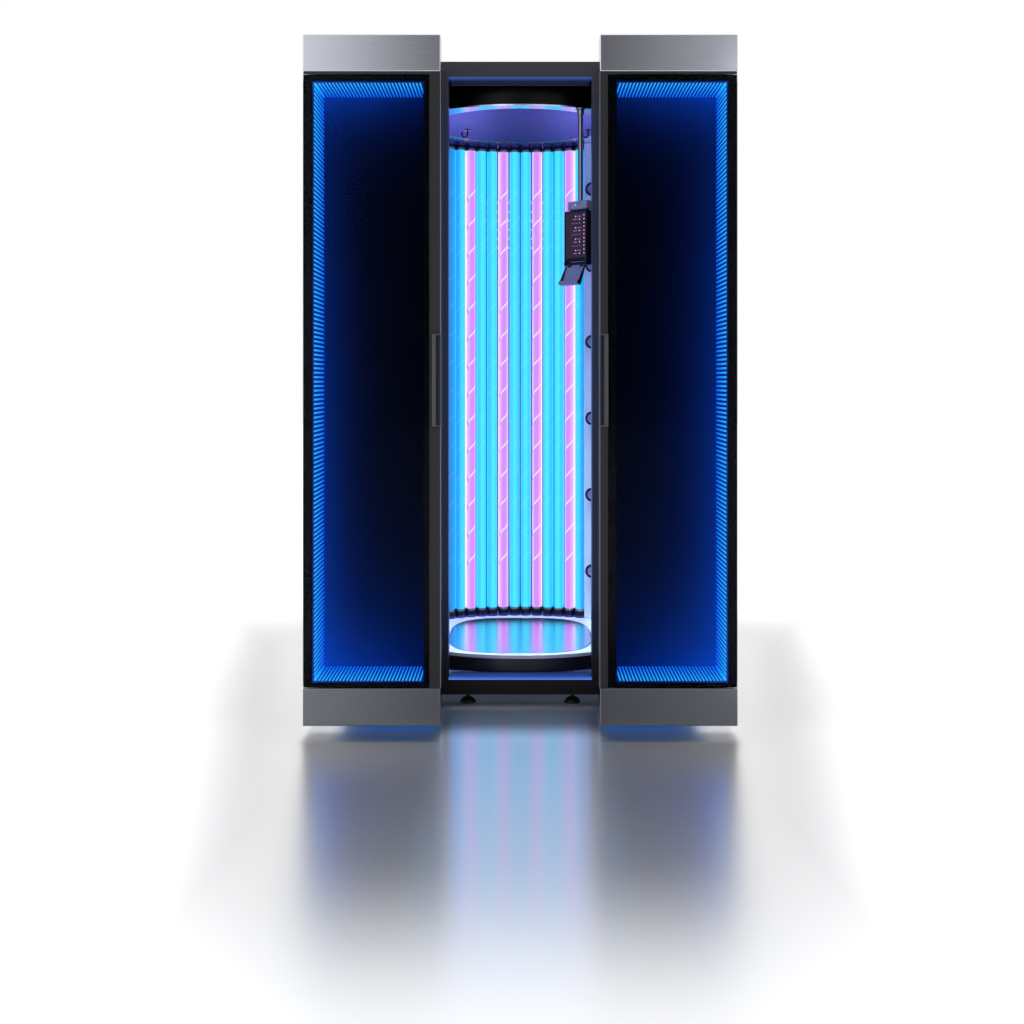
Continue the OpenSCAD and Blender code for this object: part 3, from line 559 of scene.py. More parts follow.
@dataclass(frozen=True)
class Lit(Finish):
    """A diffuser that gives off its own light, a little uneven, or a surface with painted glowing
    light.

    Attributes:
        stops: The light's colours along one axis.
        span: Where the colours start and end along that axis, in metres.
        axis: The axis, 0 to 2.
    """

    stops: Stops = ()
    span: Flat = (0.0, 1.0)
    axis: int = 1

    def shade(self, graph: Graph, place: Wire) -> Inputs:
        """Runs the light's colours from one end of the piece to the other.

        Args:
            graph: The material's graph.
            place: The Object coordinates, in metres.

        Returns:
            The shader's inputs by name.
        """
        along = graph.parts(place)[self.axis]
        share = graph.made("MapRange", {0: along, 1: self.span[0], 2: self.span[1]})
        uneven = graph.noise(place, 40.0) * 0.16 + 0.92
        return dict(Emission_Color=graph.scale(graph.ramp(share, self.stops), uneven),
                    Emission_Strength=1.0,
                    Roughness=graph.noise(place, 7.0, 4.0) * 0.12 + (self.roughness - 0.06))


@dataclass(frozen=True)
class CeilingGlow(Finish):
    """The lit ceiling: paler at both sides and darker to the rear."""

    def shade(self, graph: Graph, place: Wire) -> Inputs:
        """Mixes the glow across and along the ceiling.

        Args:
            graph: The material's graph.
            place: The Object coordinates, in metres.

        Returns:
            The shader's inputs by name.
        """
        x, y, _ = graph.parts(place)
        across = graph.smooth(abs(x), 0.03, 0.25)
        pale = graph.mix(across, srgb(64, 60, 156), srgb(104, 102, 222))
        deep = graph.mix(across, srgb(36, 40, 122), srgb(68, 70, 172))
        colour = graph.mix(graph.smooth(y, -0.12, 0.50), pale, deep)
        cloud = graph.noise(place, 9.0, 4.0, 0.6) * 0.3 + 0.85
        return dict(Emission_Color=graph.scale(colour, cloud), Emission_Strength=0.8, IOR=1.2,
                    Roughness=graph.noise(place, 12.0, 4.0) * 0.1 + self.roughness)


@dataclass(frozen=True)
class LampGlass(Finish):
    """A fluorescent tube, brightest along its inner side, with a helical groove.

    It reads the piece's own map: U runs once round the tube, with 0.25 at the inner
    side, and V is the height in metres.

    Attributes:
        core: The light's colour along the inner side.
        light: Its colour beside that.
        rim: Its colour round the back.
        groove: How much the groove shows.
        flank: How much deeper the colour is at the ring's sides.
        flank_colour: The colour there.
        flank_x: Where it begins and is full, from the middle.
        pitch: The groove's height to a turn.
        shift: The groove's start below the floor.
        line_colour: The groove's colour.
        notch_colour: The colour of the notch at its foot.
    """

    core: Colour = WHITE
    light: Colour = WHITE
    rim: Colour = WHITE
    groove: float = 0.8
    flank: float = 0.0
    flank_colour: Colour = srgb(10, 118, 244)
    flank_x: Flat = (0.225, 0.3)
    pitch: float = 0.12
    shift: float = 0.039
    line_colour: Colour = (0.9, 0.86, 1.0, 1.0)
    notch_colour: Colour = (0.05, 0.05, 0.25, 1.0)

    def shade(self, graph: Graph, place: Wire) -> Inputs:
        """Draws the bright side, the groove's line and the dark notch at its foot.

        Args:
            graph: The material's graph.
            place: The Object coordinates, in metres.

        Returns:
            The shader's inputs by name.
        """
        around, height, _ = graph.parts(graph.made("UVMap", {}, uv_map="tube"))
        side = (around - 0.25).do("PINGPONG", 0.5)
        colour = graph.mix(graph.smooth(side, 0.05, 0.12), self.core, self.light)
        colour = graph.mix(graph.smooth(side, 0.13, 0.25), colour, self.rim)
        flank = graph.smooth(abs(graph.parts(place)[0]), *self.flank_x, 0.0, self.flank)
        colour = graph.mix(flank, colour, self.flank_colour)
        turn = (height + self.shift).do("DIVIDE", self.pitch) - around
        ends = graph.smooth(height, 0.35, 0.37) * graph.smooth(height, 2.02, 2.04, 1.0, 0.0)
        groove = ends * self.groove
        phase = abs(turn.do("FRACT") - 0.5)
        line = graph.smooth(phase, 0.015, 0.06, 1.0, 0.0) * groove
        foot = graph.smooth(abs(around - 0.02), 0.03, 0.1, 1.0, 0.0)
        notch = graph.smooth(phase, 0.04, 0.12, 1.0, 0.0) * foot
        colour = graph.mix(line, colour, self.line_colour)
        colour = graph.mix(notch * groove, colour, self.notch_colour)
        mottled = graph.noise(place, 30.0) * 0.1 + 0.95
        return dict(Emission_Color=graph.scale(colour, mottled), Emission_Strength=1.0,
                    Normal=graph.bump(line, 0.3, 0.001))


@dataclass(frozen=True)
class TintedGlass(Finish):
    """Clear or tinted glass with faint smears."""

    def shade(self, graph: Graph, place: Wire) -> Inputs:
        """Lets light through the tint.

        Args:
            graph: The material's graph.
            place: The Object coordinates, in metres.

        Returns:
            The shader's inputs by name.
        """
        smear = graph.noise(graph.stretched(place, (3.0, 3.0, 1.0)), 3.0, 5.0, 0.6)
        return dict(Roughness=graph.smooth(smear, 0.6, 0.85) * self.roughness,
                    Transmission_Weight=1.0, IOR=1.06)


@dataclass(frozen=True)
class TunnelWall(Finish):
    """Dark mirror lining with a painted blue glow beside the light bars, which stands in for the
    bars' light and its reflections.

    Each of the three walls has the reach of its painted glow, in metres, and its level.
    """

    # The lining gives no light; its glow is painted light from the bars.
    inner_x: float = 0.26
    outer_x: float = 0.688
    low_z: float = 0.170
    high_z: float = 2.163
    side: Flat = (0.057, 0.175)
    top: Flat = (0.075, 0.31)
    foot: Flat = (0.150, 0.288)
    glow: Point = (0.004, 0.105, 1.0)

    def shade(self, graph: Graph, place: Wire) -> Inputs:
        """Lets the painted glow die away from the three walls beside the bars.

        Args:
            graph: The material's graph.
            place: The Object coordinates, in metres.

        Returns:
            The shader's inputs by name.
        """
        x, _, z = graph.parts(place)
        wide = abs(x)
        fade = graph.smooth(wide, self.inner_x, self.outer_x, 0.25)
        beside = graph.smooth(x, -0.1, 0.1, self.side[0], self.side[0] * 1.25)
        total: object = 0.0
        for gap, reach, level, share in (
                (self.outer_x - wide, beside, self.side[1], z * -0.6 + 1.72),
                (self.high_z - z, *self.top, fade), (z - self.low_z, *self.foot, fade)):
            glow, = graph.use(EFFECTS.glow, Distance=gap.most(0.0), Reach=reach)
            total = glow * level * share + total
        amount = total * (graph.noise(place, 6.0) * 0.2 + 0.9)
        return dict(Emission_Color=graph.scale(self.glow, amount), Emission_Strength=1.0,
                    Metallic=1.0)


@dataclass(frozen=True)
class ScreenFace(Finish):
    """A glossy screen that glows a dull purple."""

    def shade(self, graph: Graph, place: Wire) -> Inputs:
        """Lays a faint purple glow with slow bands under the gloss.

        Args:
            graph: The material's graph.
            place: The Object coordinates, in metres.

        Returns:
            The shader's inputs by name.
        """
        bands = graph.noise(graph.stretched(place, (2.0, 2.0, 40.0)), 3.0, 2.0)
        return dict(Emission_Color=graph.mix(bands, srgb(46, 32, 52), srgb(72, 50, 78)),
                    Emission_Strength=0.8, IOR=1.75,
                    Roughness=graph.noise(place, 30.0, 4.0) * 0.04 + self.roughness)


class Finishes:
    """Every finish of the booth, by what it is used for."""

    # The head and foot bands are one satin metal; the foot's darker colour is painted shade.
    satin_silver = Brushed("satin silver", "satin_silver", srgb(202, 205, 216), 0.13,
                           relief=0.01, tint=0.06, spread=0.03)
    silver_foot = Brushed("satin silver foot", "satin_silver", srgb(123, 125, 133), 0.13,
                          relief=0.01, tint=0.06, spread=0.03)
    edge_strip = Brushed("edge strip", "satin_silver", srgb(128, 130, 140), 0.3)
    charcoal = Coated("charcoal coat", "charcoal_metal", srgb(27, 28, 32), 0.42, dust=0.04,
                      ior=1.4)
    handle_coat = Coated("handle coat", "charcoal_metal", srgb(66, 67, 78), 0.3)
    # The finger channel's near-black colour is painted shade in the handle's recess.
    handle_dark = Coated("finger channel", "charcoal_metal", srgb(10, 10, 12), 0.5)
    # The portal's coat carries painted shade that darkens it towards the sill.
    portal_coat = Coated("portal coat", "charcoal_metal", srgb(66, 63, 73), 0.36, dust=0.04,
                         ior=1.3, sink=0.9)
    cover = Coated("black cover", "black_cover", srgb(34, 34, 38), 0.45, dust=0.1)
    rear_cover = Coated("rear cover", "rear_cover", srgb(62, 62, 66), 0.48, dust=0.2)
    skirt_black = Coated("skirt black", "black_gloss", srgb(22, 23, 30), 0.34, peel=0.3)
    hook_metal = Polished("hook metal", "chrome_trim", srgb(74, 76, 90), 0.12)
    hoop_black = Coated("canopy black", "black_gloss", srgb(6, 7, 10), 0.3, peel=0.1,
                        gloss_spread=0.04, ior=1.26)
    white_gloss = Coated("white gloss", "white_trim", srgb(214, 214, 226), 0.22,
                         shade_spread=0.06, peel=0.15)
    column_white = Coated("column white", "white_trim", srgb(238, 252, 255), 0.3,
                          shade_spread=0.06)
    pan_coat = Coated("floor pan coat", "pan_metal", srgb(44, 50, 82), 0.3, dust=0.2)
    soffit = Polished("canopy mirror", "chrome_trim", srgb(232, 230, 250), 0.24)
    floor_mirror = Polished("floor plate", "floor_mirror", srgb(240, 236, 252), 0.2)
    # Painted reflection: the reflector sheets glow with the colour of the lamps beside them,
    # though they give no light.
    reflector = Polished("reflector sheet", "reflector", srgb(214, 214, 236), 0.34, 0.001,
                         srgb(84, 206, 255), 0.5)
    pale_reflector = Polished("pale reflector sheet", "reflector", srgb(230, 220, 240), 0.34,
                              0.001, srgb(222, 218, 255), 0.75)
    reflector_edge = Polished("reflector edge", "reflector", srgb(110, 120, 190), 0.34,
                              glow=srgb(16, 104, 206), level=0.6)
    reflector_back = Polished("reflector back", "reflector", srgb(110, 112, 120), 0.36)
    ceiling = CeilingGlow("ceiling diffuser", "violet_light", srgb(6, 6, 18), 0.6)
    mood_head = Lit("mood light at the head", "blue_light", srgb(4, 10, 30), 0.3,
                    ((0.0, srgb(1, 2, 6)), (0.5, srgb(4, 10, 34)), (1.0, srgb(12, 28, 70))),
                    (2.246, 2.264), 2)
    # Painted light: the lining's head underside glows blue as if lit by the mood light, though it
    # is no lamp.
    lit_head = Lit("lit lining", "blue_light", srgb(4, 10, 30), 0.3,
                   ((0.0, srgb(64, 84, 160)), (0.5, srgb(36, 62, 124)),
                    (1.0, srgb(14, 32, 78))), (-0.343, -0.282))
    # The sill's mood light is a lamp; the same finish paints its light on the lining's sill as
    # well.
    mood_sill = Lit("mood light at the sill", "blue_light", srgb(8, 16, 50), 0.3,
                    ((0.0, srgb(108, 146, 226)), (0.12, srgb(52, 106, 200)),
                     (0.5, srgb(36, 64, 132)), (1.0, srgb(12, 20, 42))), (-0.343, -0.229))
    bars = Lit("light bars", "blue_light", srgb(6, 40, 90), 0.3,
               ((0.0, srgb(44, 190, 255)), (0.5, srgb(26, 150, 255)),
                (1.0, srgb(10, 100, 244))), (-0.705, -0.485))
    # Painted light: the bars' carriers glow blue between the bars, though they give no light.
    bar_carrier = Lit("bar carrier", "blue_light", srgb(2, 10, 40), 0.25,
                      ((0.0, srgb(3, 34, 128)), (1.0, srgb(1, 24, 104))), (-0.705, -0.485))
    tunnel = TunnelWall("tunnel lining", "tunnel_mirror", srgb(3, 5, 16), 0.22)
    blue_lamp = LampGlass("blue lamp", "blue_lamp", srgb(3, 12, 18), 0.2, srgb(76, 232, 255),
                          srgb(42, 208, 255), srgb(44, 196, 255), 0.05, 0.85)
    pink_lamp = LampGlass("pink lamp", "pink_lamp", srgb(16, 10, 20), 0.2, srgb(220, 142, 255),
                          srgb(228, 176, 255), srgb(230, 202, 255))
    lamp_cap = Brushed("lamp cap", "reflector", srgb(170, 172, 180), 0.3, (20.0, 20.0, 1.0))
    holder = Coated("lamp holder", "holder_plastic", srgb(9, 9, 24), 0.38, ior=1.36)
    holder_base = Coated("holder base", "holder_plastic", srgb(58, 52, 140), 0.3)
    knurl = Coated("nozzle ring", "black_plastic", srgb(16, 16, 20), 0.4)
    nozzle_inner = Coated("nozzle inside", "white_trim", srgb(190, 176, 226), 0.3)
    pole = Brushed("hanger pole", "pole_metal", srgb(156, 152, 160), 0.28, (40.0, 40.0, 0.6))
    black_plastic = Coated("black plastic", "black_plastic", srgb(20, 20, 24), 0.32)
    head_block = Coated("head block", "black_plastic", srgb(172, 174, 210), 0.34, dust=0.1)
    status = Lit("status light", "violet_light", srgb(60, 80, 120), 0.3,
                 ((0.0, srgb(150, 180, 240)), (1.0, srgb(150, 180, 240))))
    screen_lit = ScreenFace("screen face", "screen_glass", srgb(14, 10, 18), 0.01)
    mark_pale = Lit("screen mark", "screen_glass", srgb(90, 80, 100), 0.3,
                    ((0.0, srgb(176, 160, 196)), (1.0, srgb(150, 140, 170))), (0.15, 0.3), 0)
    mark_orange = Lit("screen warning mark", "screen_glass", srgb(120, 70, 30), 0.3,
                      ((0.0, srgb(232, 150, 70)), (1.0, srgb(232, 150, 70))))
    # The plate's lavender tint is painted violet light from the lamps over a grey metal.
    holder_plate = Coated("holder plate", "holder_metal", srgb(148, 150, 190), 0.34)
    dark_glass = TintedGlass("door glass", "dark_glass", srgb(240, 243, 250), 0.004)
    frit = Coated("glass border", "dark_glass", srgb(3, 5, 10), 0.12, peel=0.05, ior=1.16)
    rubber = Coated("foot rubber", "foot_rubber", srgb(20, 20, 22), 0.55, peel=1.2)
    steel = Brushed("rail steel", "rail_steel", srgb(170, 172, 176), 0.3)
    nylon = Coated("roller nylon", "roller_plastic", srgb(214, 214, 208), 0.4)
    frame_coat = Coated("frame coat", "frame_steel", srgb(70, 72, 76), 0.45, dust=0.3)
    tray = Brushed("tray metal", "tray_metal", srgb(170, 171, 172), 0.36)
    door_metal = Brushed("door metal", "door_metal", srgb(158, 160, 164), 0.36)
    fan = Coated("fan plastic", "black_plastic", srgb(26, 26, 28), 0.42, dust=0.4)


# ---------------------------------------------------------------- modelling tools


def deselect() -> None:
    """Leaves edit mode and selects nothing."""
    if bpy.context.object is not None and bpy.context.object.mode != "OBJECT":
        bpy.ops.object.mode_set(mode="OBJECT")
    bpy.ops.object.select_all(action="DESELECT")


def choose(piece: Piece) -> None:
    """Makes one object the only selected and active one.

    Args:
        piece: The object.
    """
    deselect()
    piece.select_set(True)
    bpy.context.view_layer.objects.active = piece


@contextmanager
def editing(piece: Piece) -> Iterator[None]:
    """Opens an object in edit mode for the steps inside.

    Args:
        piece: The object.

    Yields:
        Nothing.
    """
    choose(piece)
    bpy.ops.object.mode_set(mode="EDIT")
    yield
    bpy.ops.object.mode_set(mode="OBJECT")


def face_out(piece: Piece) -> None:
    """Turns every face of an object outwards.

    Args:
        piece: The object.
    """
    with editing(piece):
        bpy.ops.mesh.select_all(action="SELECT")
        bpy.ops.mesh.normals_make_consistent(inside=False)


def settle(piece: Piece, name: str) -> Piece:
    """Puts an object's place into its mesh and names it.

    Args:
        piece: The object.
        name: Its new name.

    Returns:
        The same object.
    """
    choose(piece)
    bpy.ops.object.transform_apply(location=True, rotation=True, scale=True)
    piece.name = piece.data.name = name
    return piece


def turned(piece: Piece, euler: Point, shift: Point = (0.0, 0.0, 0.0)) -> Piece:
    """Turns a piece about the origin, then moves it, and puts both into its mesh.

    Args:
        piece: The piece.
        euler: The turns about X, Y and Z.
        shift: The move after them.

    Returns:
        The same piece.
    """
    piece.rotation_euler = euler
    piece.location = shift
    return settle(piece, piece.name)


def copied(piece: Piece, shift: Point, turn: float = 0.0) -> Piece:
    """Copies an object with its own mesh, turned about Z and then moved.

    Args:
        piece: The object to copy.
        shift: The move.
        turn: The turn about the Z axis, in radians.

    Returns:
        The copy, with its place in its mesh.
    """
    twin = piece.copy()
    twin.data = piece.data.copy()
    bpy.context.scene.collection.objects.link(twin)
    return turned(twin, (0.0, 0.0, turn), shift)


def modify(piece: Piece, kind: str, **settings: object) -> None:
    """Adds a modifier and applies it.

    Args:
        piece: The object.
        kind: The modifier's type.
        **settings: Properties to set on it.
    """
    choose(piece)
    modifier = piece.modifiers.new(kind.lower(), kind)
    for key, value in settings.items():
        setattr(modifier, key, value)
    bpy.ops.object.modifier_apply(modifier=modifier.name)


def smooth(piece: Piece, angle: float = 35.0) -> None:
    """Shades an object smooth where its faces meet at less than an angle."""
    choose(piece)
    bpy.ops.object.shade_smooth_by_angle(angle=math.radians(angle))


def ease(piece: Piece, width: float, segments: int = 2, angle: float = 40.0) -> Piece:
    """Bevels an object's sharp edges, if the bevel has a width, and shades it smooth.

    Args:
        piece: The object.
        width: The bevel's width.
        segments: The bevel's segments.
        angle: The angle from which an edge is sharp, in degrees.

    Returns:
        The same object.
    """
    if width:
        modify(piece, "BEVEL", width=width, segments=segments, limit_method="ANGLE",
               angle_limit=math.radians(angle))
        smooth(piece, angle)
        modify(piece, "WEIGHTED_NORMAL", keep_sharp=True, weight=60)
    else:
        smooth(piece)
    return piece


def solidify(piece: Piece, thickness: float) -> None:
    """Gives a sheet an even thickness inwards."""
    modify(piece, "SOLIDIFY", thickness=thickness, offset=-1.0, use_even_offset=True)


def row(piece: Piece, count: int, step: Point) -> None:
    """Repeats a piece in a row."""
    modify(piece, "ARRAY", count=count, use_relative_offset=False, use_constant_offset=True,
           constant_offset_displace=step)


def block(name: str, low: Point, high: Point, bevel: float = 0.0, segments: int = 2) -> Piece:
    """Models a block between two corners.

    Args:
        name: The object's name.
        low: The lowest corner.
        high: The highest corner.
        bevel: The edges' bevel.
        segments: The bevel's segments.

    Returns:
        The object.
    """
    deselect()
    centre = [(a + b) / 2 for a, b in zip(low, high)]
    bpy.ops.mesh.primitive_cube_add(size=1.0, location=centre)
    piece = bpy.context.object
    piece.scale = [abs(b - a) for a, b in zip(low, high)]
    settle(piece, name)
    return ease(piece, bevel, segments) if bevel else piece


def rod(name: str, centre: Point, radius: float, length: float, axis: Axis = Axis.Z,
        sides: int = 48, bevel: float = 0.0) -> Piece:
    """Models a round bar about its centre.

    Args:
        name: The object's name.
        centre: The bar's middle.
        radius: Its radius.
        length: Its length.
        axis: The axis it lies along.
        sides: Its number of sides.
        bevel: The end edges' bevel.

    Returns:
        The object.
    """
    deselect()
    bpy.ops.mesh.primitive_cylinder_add(vertices=sides, radius=radius, depth=length,
                                        location=centre, rotation=axis.value)
    return ease(settle(bpy.context.object, name), bevel, 3)


def oval(centre: Flat, half: Flat, count: int = 256, power: float = 2.0) -> List[Flat]:
    """Gives the points of an ellipse or superellipse, anticlockwise.

    Args:
        centre: Its middle.
        half: Its half-width and half-depth.
        count: The number of points.
        power: 2 for an ellipse, more for flatter sides.

    Returns:
        The points.
    """
    points = []
    for index in range(count):
        angle = 2 * math.pi * index / count
        points.append(tuple(
            middle + math.copysign(reach * abs(way) ** (2 / power), way)
            for middle, reach, way in zip(centre, half, (math.cos(angle), math.sin(angle)))))
    return points


def raised(name: str, points: Sequence[Flat], z: Flat, filled: bool) -> Piece:
    """Lays a circle primitive's points on an outline and extrudes it upwards.

    Args:
        name: The object's name.
        points: The outline, anticlockwise.
        z: Its lower and upper height.
        filled: Whether the outline is a face or only an edge.

    Returns:
        The object.
    """
    deselect()
    bpy.ops.mesh.primitive_circle_add(vertices=len(points), radius=1.0,
                                      fill_type="NGON" if filled else "NOTHING")
    piece = bpy.context.object
    for vertex, (x, y) in zip(piece.data.vertices, points):
        vertex.co = (x, y, z[0])
    settle(piece, name)
    with editing(piece):
        bpy.ops.mesh.select_all(action="SELECT")
        bpy.ops.mesh.extrude_region_move(
            TRANSFORM_OT_translate={"value": (0.0, 0.0, z[1] - z[0])})
    face_out(piece)
    return piece


def slab(name: str, points: Sequence[Flat], z: Flat, bevel: float = 0.0,
         segments: int = 2) -> Piece:
    """Models a plate from its outline, its lower and upper height and its edges' bevel."""
    return ease(raised(name, points, z, True), bevel, segments)


def band(name: str, points: Sequence[Flat], z: Flat, thickness: float, bevel: float,
         segments: int = 3) -> Piece:
    """Models a wall that follows a closed outline, its thickness inwards.

    Args:
        name: The object's name.
        points: The outer outline, anticlockwise.
        z: Its lower and upper edge.
        thickness: The wall's thickness.
        bevel: The edges' bevel.
        segments: The bevel's segments.

    Returns:
        The object.
    """
    piece = raised(name, points, z, False)
    solidify(piece, thickness)
    return ease(piece, bevel, segments)


def cut(piece: Piece, tool: Piece) -> None:
    """Cuts one object out of another and removes the cutter."""
    modify(piece, "BOOLEAN", object=tool, operation="DIFFERENCE", solver="EXACT")
    bpy.data.objects.remove(tool)


def ring_plate(name: str, low: Point, high: Point, hole_low: Flat, hole_high: Flat,
               bevel: float = 0.0) -> Piece:
    """Models an upright plate with a rectangular hole through it.

    Args:
        name: The object's name.
        low: The plate's lowest corner.
        high: Its highest corner.
        hole_low: The hole's lowest X and Z.
        hole_high: The hole's highest X and Z.
        bevel: The edges' bevel.

    Returns:
        The object.
    """
    plate = block(name, low, high)
    cut(plate, block("hole", (hole_low[0], low[1] - 0.01, hole_low[1]),
                     (hole_high[0], high[1] + 0.01, hole_high[1])))
    return ease(plate, bevel) if bevel else plate


def join(name: str, pieces: Sequence[Piece]) -> Piece:
    """Joins several objects into the first one.

    Args:
        name: The joined object's name.
        pieces: The objects.

    Returns:
        The joined object.
    """
    choose(pieces[0])
    for piece in pieces:
        piece.select_set(True)
    bpy.ops.object.join()
    joined = bpy.context.object
    joined.name = joined.data.name = name
    return joined


def drop_faces(piece: Piece, test: Test) -> None:
    """Deletes the faces of a piece that pass a test.

    Args:
        piece: The piece.
        test: Tells from a face's middle and normal whether it goes.
    """
    with editing(piece):
        bpy.ops.mesh.select_all(action="DESELECT")
    for face in piece.data.polygons:
        face.select = test(face.center, face.normal)
    with editing(piece):
        bpy.ops.mesh.select_mode(type="FACE")
        bpy.ops.mesh.delete(type="FACE")


def dress(piece: Piece, *finishes: Finish) -> Piece:
    """Gives an object its materials.

    Args:
        piece: The object.
        *finishes: The finishes, in slot order.

    Returns:
        The same object.
    """
    for finish in finishes:
        piece.data.materials.append(finish.material())
    return piece


def paint(piece: Piece, slot: int, test: Test) -> None:
    """Gives some faces of a dressed piece one of its materials.

    Args:
        piece: The piece.
        slot: The material's slot.
        test: Tells from a face's middle and normal whether it is one of them.
    """
    for face in piece.data.polygons:
        if test(face.center, face.normal):
            face.material_index = slot


def dress_node(node: str, finish: Finish) -> None:
    """Gives a carried-over node a better material.

    Args:
        node: The node's name.
        finish: Its finish.
    """
    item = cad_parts[node]
    if not item.material_slots:
        item.data.materials.append(finish.material())
    for place in item.material_slots:
        place.material = finish.material()


def hand_over(piece: Piece, body: str, finish: Finish, *nodes: str) -> None:
    """Ties a finished piece to its body and hides the nodes it stands for.

    Args:
        piece: The finished object, which takes the finish if it isn't dressed yet.
        body: The body that it moves with.
        finish: Its finish.
        *nodes: The nodes that it replaces.
    """
    if not piece.data.materials:
        dress(piece, finish)
    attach(piece, body)
    if nodes:
        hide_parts(*nodes)
    LOG.info("%s: %d faces on %s", piece.name, len(piece.data.polygons), body)


# ---------------------------------------------------------------- the studio


@dataclass
class Studio:
    """Camera, floor, lights and background.

    Attributes:
        eye: The camera's place.
        lens: Its lens, in millimetres.
        shift: The picture's shift, in widths.
        door_front: The Y of the doors' faces.
        spreads: How fast the doors' and the doorway's reflections widen to the front.
        gloss_roughness: The glossy floor's roughness.
        cloud: The pale floor's darkest and lightest tone.
        glossy_tone: The floor's own tone where it is glossy.
        door_shade: The painted blue shade on the floor under the doors.
        tints: What the gloss keeps of a reflection, between the doors and beside.
        lifts: How much the far and the nearest floor are lifted to white.
        fill_level: The background's level for light that isn't seen directly.
        ambient: Its level in reflections where the studio has nothing.
    """

    eye: Point = (0.0, -5.092, 1.172)
    lens: float = 46.4
    shift: Flat = (-8.2 / 1024, -131.7 / 1024)
    door_front: float = -0.715
    spreads: Flat = (-0.165, -0.0606)
    gloss_roughness: float = 0.28
    cloud: Tuple[Colour, Colour] = ((0.93, 0.93, 0.935, 1.0), (0.96, 0.96, 0.965, 1.0))
    glossy_tone: Colour = (0.58, 0.61, 0.66, 1.0)
    door_shade: Colour = (0.0, 0.24, 0.6, 1.0)
    tints: Tuple[Colour, Colour] = ((0.96, 0.92, 0.97, 1.0), (0.98, 0.97, 0.96, 1.0))
    lifts: Flat = (0.42, 0.36)
    fill_level: float = 0.62
    ambient: float = 0.085

    def camera(self) -> None:
        """Sets a level camera in front of the doorway."""
        data = bpy.data.cameras.new("camera")
        data.sensor_width = 36.0
        data.lens = self.lens
        data.shift_x, data.shift_y = self.shift
        camera = bpy.data.objects.new("camera", data)
        camera.location = self.eye
        camera.rotation_euler = (math.pi / 2, 0.0, 0.0)
        bpy.context.scene.collection.objects.link(camera)
        bpy.context.scene.camera = camera

    def floor(self) -> None:
        """Lays a pale floor that is glossy before the booth, with painted shadow between and under
        its doors.
        """
        deselect()
        bpy.ops.mesh.primitive_plane_add(size=60.0, location=(0.0, 0.0, -0.0005))
        floor = settle(bpy.context.object, "studio_floor")
        material = bpy.data.materials.new("studio floor")
        graph = Graph.on(material)
        x, y, _ = graph.parts(graph.place())
        wide, depth = abs(x), y - self.door_front
        narrow = depth * self.spreads[0] + wide
        before = graph.smooth(y, -2.86, -1.78, 0.0, 0.74)
        aside = graph.smooth(narrow, 0.745, 1.05, 1.0, 0.0)
        glossy = before * aside * graph.smooth(y, 0.6, 1.6, 1.0, 0.0)
        beside = graph.smooth(depth * self.spreads[1] + wide, 0.248, 0.31)
        between = 1.0 - beside
        below = beside * graph.smooth(wide, 0.56, 0.64, 1.0, 0.0)
        # Painted shadow: the floor, matt and glossy, fades towards black between the doors and
        # towards a painted blue shade under them.
        under = (between * graph.smooth(y, -0.8, -0.56, 0.0, 0.78)
                 + below * graph.smooth(y, -0.83, -0.79, 0.0, 0.54))
        under = under * graph.smooth(y, -0.42, -0.28, 1.0, 0.0)
        shade = graph.mix(beside, BLACK, self.door_shade)
        cloudy = graph.mix(graph.noise(graph.place(), 1.3), *self.cloud)
        tone = graph.mix(glossy * 1.1, cloudy, self.glossy_tone)
        matt = graph.made("BsdfPrincipled", {"Roughness": 0.3,
                                             "Base_Color": graph.mix(under, tone, shade)})
        far = graph.smooth(narrow, 0.78, 1.15, 0.0, self.lifts[0])
        far = far.most(graph.smooth(y, -2.7, -1.25, self.lifts[1], 0.0))
        far = far.most(graph.smooth(y, 0.4, 1.8, 0.0, self.lifts[0]))
        lift = graph.made("Emission", {"Color": WHITE,
                                       "Strength": graph.rays("Camera", "Glossy") * far})
        pale = graph.made("AddShader", {0: matt, 1: lift})
        tint = graph.mix(beside, *self.tints)
        near = beside * graph.smooth(y, -1.0, -0.82) * 0.65
        gloss = graph.made("BsdfAnisotropic", {
            "Color": graph.mix(under, tint, shade), "Roughness": self.gloss_roughness,
            "Anisotropy": between * 0.7 - near, "Tangent": graph.made("CombineXYZ", {"X": 1.0})})
        surface = graph.made("MixShader", {0: glossy, 1: pale, 2: gloss})
        graph.fill(graph.add("OutputMaterial"), {"Surface": surface})
        floor.data.materials.append(material)

    def world(self) -> None:
        """Makes the background white to the eye and a quiet studio to the pieces."""
        world = bpy.data.worlds.new("studio")
        bpy.context.scene.world = world
        graph = Graph.on(world)
        x, y, z = graph.parts(graph.made("TexCoord", {}, "Generated"))
        left = graph.smooth(x * -1.0, 0.03, 0.22) * 1.35
        right = graph.smooth(x, 0.03, 0.22) * 0.75
        behind = graph.smooth(y, -0.2, 0.3)
        above = graph.smooth(z, 0.35, 0.95) * 0.8
        room = (left.most(right) * (1.0 - behind)).most((behind * 0.9).most(above))
        level = room + (self.ambient - self.fill_level)
        soft = graph.rays("Glossy", "Transmission") * level + self.fill_level
        strength = graph.rays("Camera") * (1.0 - soft) + soft
        surface = graph.made("Background", {"Color": WHITE, "Strength": strength})
        graph.fill(graph.add("OutputWorld"), {"Surface": surface})

